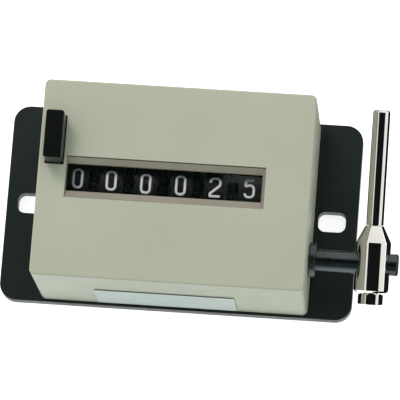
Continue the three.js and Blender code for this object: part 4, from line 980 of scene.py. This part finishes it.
@dataclass
class NumberWheels(Assembly):
    """Printed bands round the number wheels, which carry the figures 0 to 9."""

    reading: str = "000025"
    wheel_line: Place = (0.0, 1.0, 29.5)
    radius: float = 15.05
    band_depth: float = 0.6
    rim_width: float = 8.34
    edge_round: float = 0.3
    edge_middle: float = 0.09
    figure_width: float = 4.3
    figure_height: float = 7.35
    figure_angle: float = 36.0
    pen_width: float = 0.86
    pen_edge: float = 0.08
    film: float = 0.05
    stroke_lift: float = 0.012
    step: float = 0.6
    corner_steps: int = 6
    play: tuple[float, ...] = (2.4, 2.1, 0.8, 1.5, 1.7, 3.5)
    print_shift: tuple[float, ...] = (0.34, -0.04, -0.09, -0.04, -0.1, -0.3)
    pitch: float = 12.28
    first_centre: float = -34.65

    def band(self) -> Shape:
        """Models the bare band where the first wheel is.

        Returns:
            A ring with soft edges over the wheel's rim.
        """
        left = self.first_centre - self.rim_width / 2
        right = self.first_centre + self.rim_width / 2
        ring = Shape.turned("number_band", Axis.X, self.wheel_line, [
            (left, self.radius - self.edge_round),
            (left + self.edge_middle, self.radius - self.edge_middle),
            (left + self.edge_round, self.radius),
            (right - self.edge_round, self.radius),
            (right - self.edge_middle, self.radius - self.edge_middle),
            (right, self.radius - self.edge_round),
        ], sides=120)
        ends = (left - OVERRUN, right + OVERRUN)
        return ring.bore(Axis.X, self.wheel_line, self.radius - self.band_depth, ends, sides=120)

    def pen_line(self, stroke: Stroke) -> list[Vector]:
        """Follows a stroke's middle with rounded corners, in short steps.

        Args:
            stroke: the stroke.

        Returns:
            Points across and up the figure.
        """
        half_x = (self.figure_width - self.pen_width) / 2
        half_y = (self.figure_height - self.pen_width) / 2
        corners = [Vector((x * half_x, y * half_y)) for x, y, _ in stroke.points]
        count = len(corners)
        line: list[Vector] = []
        for i, corner in enumerate(corners):
            radius = stroke.points[i][2]
            inner = stroke.closed or 0 < i < count - 1
            if not inner or radius == 0:
                line.append(corner)
                continue
            before = (corners[i - 1] - corner).normalized()
            after = (corners[(i + 1) % count] - corner).normalized()
            half_angle = before.angle(after) / 2
            reach = radius / math.tan(half_angle)
            centre = corner + (before + after).normalized() * (radius / math.sin(half_angle))
            start = corner + before * reach - centre
            sweep = start.angle_signed(corner + after * reach - centre)
            for k in range(self.corner_steps + 1):
                turn = Matrix.Rotation(-sweep * k / self.corner_steps, 2)
                line.append(centre + turn @ start)
        return self.short_steps(line, stroke.closed)

    def short_steps(self, line: list[Vector], closed: bool) -> list[Vector]:
        """Divides long runs, so that the figure can follow the round of the wheel.

        Args:
            line: points of the line.
            closed: whether the last point joins the first.

        Returns:
            The line with more points.
        """
        result: list[Vector] = []
        pairs = list(zip(line, line[1:] + line[:1]))
        for start, end in pairs if closed else pairs[:-1]:
            pieces = max(1, math.ceil((end - start).length / self.step))
            result += [start.lerp(end, k / pieces) for k in range(pieces)]
        return result if closed else result + [line[-1]]

    @staticmethod
    def flat_curve(name: str, line: Sequence[Sequence[float]], closed: bool) -> bpy.types.Object:
        """Lays a flat curve of straight runs.

        Args:
            name: name of the curve.
            line: its points.
            closed: whether the last point joins the first.

        Returns:
            The curve's object.
        """
        curve = bpy.data.curves.new(name, "CURVE")
        curve.dimensions = "2D"
        spline = curve.splines.new("POLY")
        spline.points.add(len(line) - 1)
        for point, (x, y) in zip(spline.points, line):
            point.co = (x * MM, y * MM, 0, 1)
        spline.use_cyclic_u = closed
        piece = bpy.data.objects.new(name, curve)
        bpy.context.scene.collection.objects.link(piece)
        return piece

    def pen(self) -> bpy.types.Object:
        """Draws the section of the film that the pen leaves.

        Returns:
            A flat outline with its upper edges broken.
        """
        half, edge, top = self.pen_width / 2, self.pen_edge, self.film
        outline = [(-half, -top), (half, -top), (half, top - edge / 2), (half - edge, top),
                   (edge - half, top), (-half, top - edge / 2)]
        return self.flat_curve("pen", outline, True)

    def draw(self, stroke: Stroke, pen: bpy.types.Object, digit: int, lift: float) -> Shape:
        """Draws one stroke flat and lays it on the first wheel.

        Args:
            stroke: the stroke.
            pen: the pen's section.
            digit: the figure it belongs to, which sets its place round the wheel.
            lift: extra height, so that crossing strokes don't share a surface.

        Returns:
            The stroke as a mesh on the wheel.
        """
        piece = self.flat_curve("stroke", self.pen_line(stroke), stroke.closed)
        piece.data.bevel_mode = "OBJECT"
        piece.data.bevel_object = pen
        piece.data.use_fill_caps = True
        Shape(piece).activate()
        bpy.ops.object.convert(target="MESH")
        shape = Shape(bpy.context.object)
        shape.tidy()
        for vertex in shape.piece.data.vertices:
            across, up, out = vertex.co / MM
            angle = up / self.radius - math.radians(self.figure_angle * digit)
            radius = self.radius + out + lift
            round_wheel = Vector((across + self.first_centre, radius * math.sin(angle),
                                  radius * math.cos(angle)))
            vertex.co = (Vector(self.wheel_line) + round_wheel) * MM
        return shape.paint(FIGURE_FILM.material())

    def build(self) -> None:
        """Models one band and its ten figures, and copies both to every wheel.

        Each wheel stands a little off its place, within the play of its gearing, and its figures a
        little off the middle of its band, as they were stamped. The last wheel is the units wheel.
        """
        pen = self.pen()
        strokes = [self.draw(stroke, pen, digit, self.stroke_lift * order)
                   for digit, figure in enumerate(FIGURES) for order, stroke in enumerate(figure)]
        bpy.data.objects.remove(pen, do_unlink=True)
        figures = strokes[0].absorb(strokes[1:])
        ring = self.band().paint(WHEEL_ACETAL.material())
        bands = []
        for i, digit in enumerate(self.reading):
            place = mm(i * self.pitch, 0, 0)
            band = ring.copy(f"number_band_{i + 1}", Matrix.Translation(place))
            stamped = Matrix.Translation(place + mm(self.print_shift[i], 0, 0))
            band.absorb([figures.copy("figures", stamped)])
            turn = -self.figure_angle * int(digit) - self.play[i]
            bands.append(band.move(turn_about(self.wheel_line, turn, Axis.X)))
        for pattern in (ring, figures):
            bpy.data.objects.remove(pattern.piece, do_unlink=True)
        bodies = [f"number_wheel_{i}" for i in range(1, len(bands))] + ["units_wheel"]
        for band, body in zip(bands, bodies):
            self.dress(band, Slot.WHEEL, body)


@dataclass
class SideLever(Assembly):
    """Drive shaft in its bush, and the lever clamped on the shaft."""

    shaft_line: Place = (0.0, -18.5, 26.0)
    lever_line: Place = (70.8, 0.0, 26.0)
    lean: float = 14.0
    edge_break: float = 0.12
    shaft_radius: float = 3.9
    thin_radius: float = 3.0
    thin_chamfer: float = 0.2
    groove_radius: float = 2.5
    groove: Pair = (-44.3, -43.3)
    shaft_step: float = 39.1
    # How far behind the shaft's outer end a place is, and how much thinner the shaft is there.
    shaft_end: Profile = ((0.6, 0.0), (0.25, 0.22), (0.0, 0.75))
    pin_place: float = 37.6
    pin_hole_radius: float = 1.0
    pin_hole_reach: float = 5.0
    # Places along the bush with the radius there.
    bush_steps: Profile = ((41.2, 4.9), (41.2, 5.2), (48.45, 5.2), (48.45, 6.2))
    # How far behind the bush's front face a place is, and the radius there.
    bush_front: Profile = ((0.5, 6.2), (0.15, 6.05), (0.0, 5.7))
    bush_bore: float = 4.1
    hub_radius: float = 6.2
    hub_chamfer: float = 0.7
    hub_ends: Pair = (-28.6, -5.0)
    hub_top: float = -10.9
    hub_round: float = 0.08
    cone_radius: float = 3.2
    cross_bore_reach: float = 8.0
    bore_gap: float = 0.2
    rod_radius: float = 3.1
    spigot_radius: float = 2.0
    rod_ends: Pair = (-9.0, 36.0)
    rod_seat: float = -4.85
    rod_round: float = 1.1
    screw_corner: float = 4.9
    screw_corner_round: float = 1.5
    screw_turn: float = 30.0
    screw_head: Pair = (-32.9, -29.35)
    # How far above the head's end face a place is, and how far outside its corners the cone is there.
    screw_cone: Profile = ((0.0, -0.62), (0.9, 0.6), (2.95, 0.6), (3.65, -0.4))
    washer_radius: float = 3.9
    washer_height: float = 0.3
    washer_sink: float = 0.5
    thread_radius: float = 2.4
    thread_gap: float = 0.3

    @property
    def leaned(self) -> Matrix:
        """The turn outwards of the lever's three pieces, which are made upright."""
        return turn_about(self.shaft_line, self.lean, Axis.X)

    def build_shaft(self) -> None:
        """Models the shaft, thick outside and thin inside, with a chamfered end."""
        low, high = (corner.x for corner in limits("drive_shaft"))
        shaft = Shape.turned("drive_shaft_blackened", Axis.X, self.shaft_line, [
            (low, self.thin_radius - self.thin_chamfer),
            (low + self.thin_chamfer, self.thin_radius),
            (self.groove[0], self.thin_radius),
            (self.groove[0], self.groove_radius),
            (self.groove[1], self.groove_radius),
            (self.groove[1], self.thin_radius),
            (self.shaft_step, self.thin_radius),
            (self.shaft_step, self.shaft_radius),
            *((high - behind, self.shaft_radius - thinner) for behind, thinner in self.shaft_end),
        ])
        _, y, z = self.shaft_line
        ends = (y - self.pin_hole_reach, y + self.pin_hole_reach)
        shaft.bore(Axis.Y, (self.pin_place, 0, z), self.pin_hole_radius, ends, sides=24)
        self.dress(shaft, Slot.DARK_STEEL, "lever", "drive_shaft")

    def build_bush(self) -> None:
        """Models the flanged bush that the shaft comes out of."""
        low, high = (corner.x for corner in limits("shaft_bush"))
        bush = Shape.turned("shaft_bush_blackened", Axis.X, self.shaft_line, [
            (low, self.bush_steps[0][1]),
            *self.bush_steps,
            *((high - behind, radius) for behind, radius in self.bush_front),
        ])
        bush.bore(Axis.X, self.shaft_line, self.bush_bore, (low - OVERRUN, high + OVERRUN))
        bush.soften(self.edge_break)
        self.dress(bush, Slot.DARK_STEEL, "housing", "shaft_bush")

    def build_hub(self) -> None:
        """Models the turned hub with its cone, cross bore and the two bores along it."""
        low, high = self.hub_ends
        slope = (self.hub_radius - self.cone_radius) / (high - self.hub_top)
        hub = Shape.turned("lever_hub_plated", Axis.Y, self.lever_line, [
            (low, self.hub_radius - self.hub_chamfer),
            (low + self.hub_chamfer, self.hub_radius),
            (self.hub_top - self.edge_break, self.hub_radius),
            (self.hub_top + self.edge_break, self.hub_radius - self.edge_break * slope),
            (high, self.cone_radius),
        ], sides=96)
        x, y = self.lever_line[0], self.shaft_line[1]
        gap = self.bore_gap
        across = (x - self.cross_bore_reach, x + self.cross_bore_reach)
        spigot = (self.rod_ends[0] - gap, high + OVERRUN)
        thread = (low - OVERRUN, y)
        hub.bore(Axis.X, self.shaft_line, self.shaft_radius + gap, across)
        hub.bore(Axis.Y, self.lever_line, self.spigot_radius + gap, spigot)
        hub.bore(Axis.Y, self.lever_line, self.thread_radius + gap, thread)
        hub.soften(self.hub_round).move(self.leaned).paint(NICKEL_PLATE.material())
        self.dress(hub, Slot.NICKEL, "lever", "lever_hub")

    def build_rod(self) -> None:
        """Models the rod with its spigot and rounded end."""
        low, high = self.rod_ends
        end = [
            (high - self.rod_round * (1 - math.sin(math.radians(angle))),
             self.rod_radius - self.rod_round * (1 - math.cos(math.radians(angle))))
            for angle in (0, 22.5, 45, 67.5, 90)
        ]
        rod = Shape.turned("lever_rod_plated", Axis.Y, self.lever_line, [
            (low, self.spigot_radius),
            (self.rod_seat, self.spigot_radius),
            (self.rod_seat, self.rod_radius - self.edge_break),
            (self.rod_seat + self.edge_break, self.rod_radius),
            *end,
        ], sides=96)
        rod.move(self.leaned).paint(NICKEL_PLATE.material())
        self.dress(rod, Slot.NICKEL, "lever", "lever_rod")

    def build_clamp_screw(self) -> None:
        """Models the clamp screw: a chamfered hexagon with a washer face, and its shank."""
        bottom, top = self.screw_head
        head = Shape.turned("clamp_screw_plated", Axis.Y, self.lever_line, [
            (bottom, self.screw_corner),
            (top, self.screw_corner),
        ], sides=6)
        head.move(turn_about(self.lever_line, self.screw_turn, Axis.Y))
        head.bevel(self.screw_corner_round, along(Axis.Y), segments=5)
        stations = [(bottom + above, self.screw_corner + outside) for above, outside in self.screw_cone]
        cone = Shape.turned("chamfer", Axis.Y, self.lever_line, stations)
        shank = Shape.turned("shank", Axis.Y, self.lever_line, [
            (top - self.washer_sink, self.washer_radius),
            (top + self.washer_height, self.washer_radius),
            (top + self.washer_height, self.thread_radius),
            (self.shaft_line[1] - self.shaft_radius - self.thread_gap, self.thread_radius),
        ])
        head.merge(cone, Merge.KEEP_SHARED).soften(self.edge_break, above=25.0)
        head.merge(shank, Merge.ADD).move(self.leaned)
        self.dress(head, Slot.NICKEL, "lever", "clamp_screw")

    def build(self) -> None:
        """Models the five pieces from the shaft to the screw."""
        self.build_shaft()
        self.build_bush()
        self.build_hub()
        self.build_rod()
        self.build_clamp_screw()


@dataclass
class ResetKey(Assembly):
    """Push key with its flange behind the cover and its flat stem."""

    head: Area = (-45.8, -39.5, 5.45, 22.55)
    head_sink: float = 0.5
    seat: float = 48.1
    corner_radius: float = 0.9
    face_round: float = 0.3
    flange_side: float = 0.3
    flange_lap: float = 1.3
    flange_depth: float = 1.8
    flange_round: float = 0.15
    stem: Area = (-45.7, -43.7, 6.2, 10.5)
    stem_high_y: float = 13.6
    stem_foot_z: float = 34.8
    slot_place: Pair = (8.35, 27.5)
    slot_radius: float = 1.3
    slot_travel: float = 6.2

    def build(self) -> None:
        """Models the key: head, flange, stem and the slot that its guide stud runs in."""
        low, high = limits("reset_key")
        key = Shape.slab("reset_key_moulded", self.head, self.seat - self.head_sink, high.z)
        key.bevel(self.corner_radius, along(Axis.Z), segments=6)
        key.bevel(self.face_round, lambda spot, way: spot.z > high.z - NEAR, segments=5)
        x_low, x_high, y_low, y_high = self.head
        lapped = (x_low - self.flange_side, x_high, y_low - self.flange_lap, y_high + self.flange_lap)
        flange = Shape.slab("flange", lapped, self.seat - self.flange_depth, self.seat)
        flange.soften(self.flange_round)
        top = self.seat - self.flange_depth / 2
        stem = Shape.slab("leg", self.stem, low.z, top)
        blade = Shape.slab("blade", (*self.stem[:3], self.stem_high_y), self.stem_foot_z, top)
        stem.merge(blade, Merge.ADD).merge(self.guide_slot(), Merge.CUT)
        key.merge(flange, Merge.ADD).merge(stem, Merge.ADD)
        self.dress(key, Slot.KEY, "reset_key", "reset_key")

    def guide_slot(self) -> Shape:
        """Models the slot of the guide stud.

        Returns:
            The shape that is cut out.
        """
        y, z = self.slot_place
        radius = self.slot_radius
        area = (self.stem[0] - OVERRUN, self.stem[1] + OVERRUN, y - radius, y + radius)
        slot = Shape.slab("slot", area, z - radius, z + self.slot_travel + radius)
        slot.bevel(radius - NEAR / 10, along(Axis.X), segments=8)
        slot.tidy()
        return slot


# Studio


@dataclass(frozen=True)
class Card:
    """A sheet of matt paper round the object: its colour and its two corners."""

    name: str
    colour: str
    low: Place
    high: Place


@dataclass
class Studio:
    """Pale floor, white surroundings, two soft lamps, cards that shiny pieces mirror, and the camera."""

    azimuth: float = 20.65
    elevation: float = 77.06
    roll: float = 4.58
    distance: float = 1480.0
    focal_length: float = 373.5
    sensor_width: float = 36.0
    clip: Pair = (50.0, 30000.0)
    pivot: Place = (0.0, 0.0, 25.0)
    aim_right: float = 7.9
    aim_up: float = 0.31
    lamp_place: Place = (-430.0, 620.0, 900.0)
    lamp_size: float = 420.0
    lamp_power: float = 5.4
    lamp_colour: str = "FFE8EC"
    fill_place: Place = (640.0, 60.0, 260.0)
    fill_power: float = 0.3
    ambient_colour: str = "D9E6DE"
    floor_size: float = 12000.0
    floor_height: float = -0.1
    floor_colour: str = "EDEDED"
    floor_glow: float = 0.8
    cards: tuple[Card, ...] = (
        Card("black_card_overhead", "1C1C1E", (-560, -450, 1026), (1450, 335, 1028)),
        Card("grey_card_overhead", "7C7F80", (-560, -1500, 1026), (1450, -450, 1028)),
        Card("grey_card_near", "7C7F80", (-560, -1502, 330), (1450, -1500, 1026)),
        Card("warm_card_left", "9C968C", (-702, -1500, 0), (-700, 1500, 824)),
        Card("warm_card_behind", "9C968C", (-700, 36.5, 0.5), (76, 300, 1)),
        Card("black_card_beside", "1C1C1E", (78, -150, 0.5), (420, 150, 1)),
        Card("black_card_low", "1C1C1E", (50, -36, 5.5), (50.5, 36, 18)),
        Card("dim_card_high", "34423D", (-150, 205, 1024), (-20, 229, 1025)),
        Card("pale_card_high", "D8F0E4", (-50, 220.3, 1022), (-24, 232, 1023)),
    )

    def build_floor(self) -> None:
        """Lays the floor: pale, lit to white where nothing shades it, with the object's shadow."""
        deselect_all()
        place = mm(0, 0, self.floor_height)
        bpy.ops.mesh.primitive_plane_add(size=self.floor_size * MM, location=place)
        floor = Shape.adopt("studio_floor")
        material, tree = new_tree("matt_white_paper")
        paper = add_node(tree, "ShaderNodeBsdfDiffuse", {"Color": linear(self.floor_colour)})
        inputs = {0: self.seen_rays(tree), 1: self.floor_glow}
        glow = add_node(tree, "ShaderNodeMath", inputs, operation="MULTIPLY")
        light = add_node(tree, "ShaderNodeEmission", {"Strength": glow.outputs[0]})
        both = add_node(tree, "ShaderNodeAddShader", {0: paper.outputs[0], 1: light.outputs[0]})
        add_node(tree, "ShaderNodeOutputMaterial", {"Surface": both.outputs[0]})
        floor.paint(material)

    def build_world(self) -> None:
        """Surrounds the object with white, a little dimmer and cooler for the light that falls on it."""
        world = bpy.data.worlds.new("white_surroundings")
        bpy.context.scene.world = world
        world.use_nodes = True
        tree = world.node_tree
        tree.nodes.clear()
        inputs = {0: self.seen_rays(tree), 6: linear(self.ambient_colour), 7: linear("FFFFFF")}
        colour = add_node(tree, "ShaderNodeMix", inputs, data_type="RGBA")
        back = add_node(tree, "ShaderNodeBackground", {"Color": colour.outputs[2]})
        add_node(tree, "ShaderNodeOutputWorld", {"Surface": back.outputs[0]})

    @staticmethod
    def seen_rays(tree: Tree) -> Socket:
        """Tells what is seen, straight, in a shine or through the window, from what only lights.

        Args:
            tree: the node tree.

        Returns:
            A socket that is 1 for rays that are seen and 0 for the others.
        """
        ray = add_node(tree, "ShaderNodeLightPath")
        seen = ray.outputs["Is Camera Ray"]
        for kind in ("Is Glossy Ray", "Is Transmission Ray"):
            inputs = {0: seen, 1: ray.outputs[kind]}
            seen = add_node(tree, "ShaderNodeMath", inputs, operation="MAXIMUM").outputs[0]
        return seen

    @staticmethod
    def build_card(card: Card) -> None:
        """Puts up one card that only shiny pieces see, as a photographer does for metal.

        Args:
            card: the card.
        """
        shape = Shape.block(card.name, card.low, card.high)
        material, tree = new_tree(f"matt_{card.name}")
        paper = add_node(tree, "ShaderNodeBsdfDiffuse", {"Color": linear(card.colour)})
        add_node(tree, "ShaderNodeOutputMaterial", {"Surface": paper.outputs[0]})
        shape.paint(material)
        shape.piece.visible_camera = False
        shape.piece.visible_diffuse = False
        shape.piece.visible_shadow = False

    def build_lamp(self, name: str, place: Place, power: float) -> None:
        """Hangs one soft lamp that looks at the object and isn't mirrored in it.

        Args:
            name: name of the lamp.
            place: where it hangs.
            power: its power in watts.
        """
        light = bpy.data.lights.new(name, "AREA")
        light.shape = "SQUARE"
        light.size = self.lamp_size * MM
        light.energy = power
        light.color = linear(self.lamp_colour)[:3]
        lamp = bpy.data.objects.new(name, light)
        bpy.context.scene.collection.objects.link(lamp)
        lamp.location = mm(*place)
        lamp.rotation_euler = (-lamp.location).to_track_quat("-Z", "Y").to_euler()
        lamp.visible_glossy = False

    def build_camera(self) -> None:
        """Places the camera where the photograph was taken from."""
        side, height = math.radians(self.azimuth), math.radians(self.elevation)
        back = Vector((
            math.sin(side) * math.cos(height),
            -math.cos(side) * math.cos(height),
            math.sin(height),
        ))
        up = (Vector((0, 1, 0)) - back * back.y).normalized()
        right = up.cross(back)
        roll = math.radians(self.roll)
        level_right = right * math.cos(roll) + up * math.sin(roll)
        level_up = up * math.cos(roll) - right * math.sin(roll)
        place = Vector(self.pivot) + back * self.distance
        aim = Vector(self.pivot) + level_right * self.aim_right + level_up * self.aim_up
        look = (place - aim).normalized()
        camera_right = level_up.cross(look).normalized()
        turn = Matrix((camera_right, look.cross(camera_right), look)).transposed().to_4x4()
        data = bpy.data.cameras.new("product_camera")
        data.sensor_width = self.sensor_width
        data.lens = self.focal_length
        data.clip_start, data.clip_end = (distance * MM for distance in self.clip)
        camera = bpy.data.objects.new("product_camera", data)
        bpy.context.scene.collection.objects.link(camera)
        camera.matrix_world = Matrix.Translation(place * MM) @ turn
        bpy.context.scene.camera = camera

    def build(self) -> None:
        """Builds the studio: the main lamp at the upper left, a weak one at the lever's side."""
        bpy.context.scene.view_settings.view_transform = "Standard"
        self.build_camera()
        self.build_floor()
        self.build_world()
        for card in self.cards:
            self.build_card(card)
        self.build_lamp("soft_box", self.lamp_place, self.lamp_power)
        self.build_lamp("fill_light", self.fill_place, self.fill_power)
        log.info("studio built")


def main() -> None:
    """Builds the counter piece by piece and reports each."""
    logging.basicConfig(level=logging.INFO, format="%(message)s")
    Studio().build()
    for kind in (InnerWorks, BasePlate, RearScrews, Cover, WindowFrame, RatingPlate, NumberWheels,
                 SideLever, ResetKey):
        kind().build()
    deselect_all()


if __name__ == "__main__":
    main()
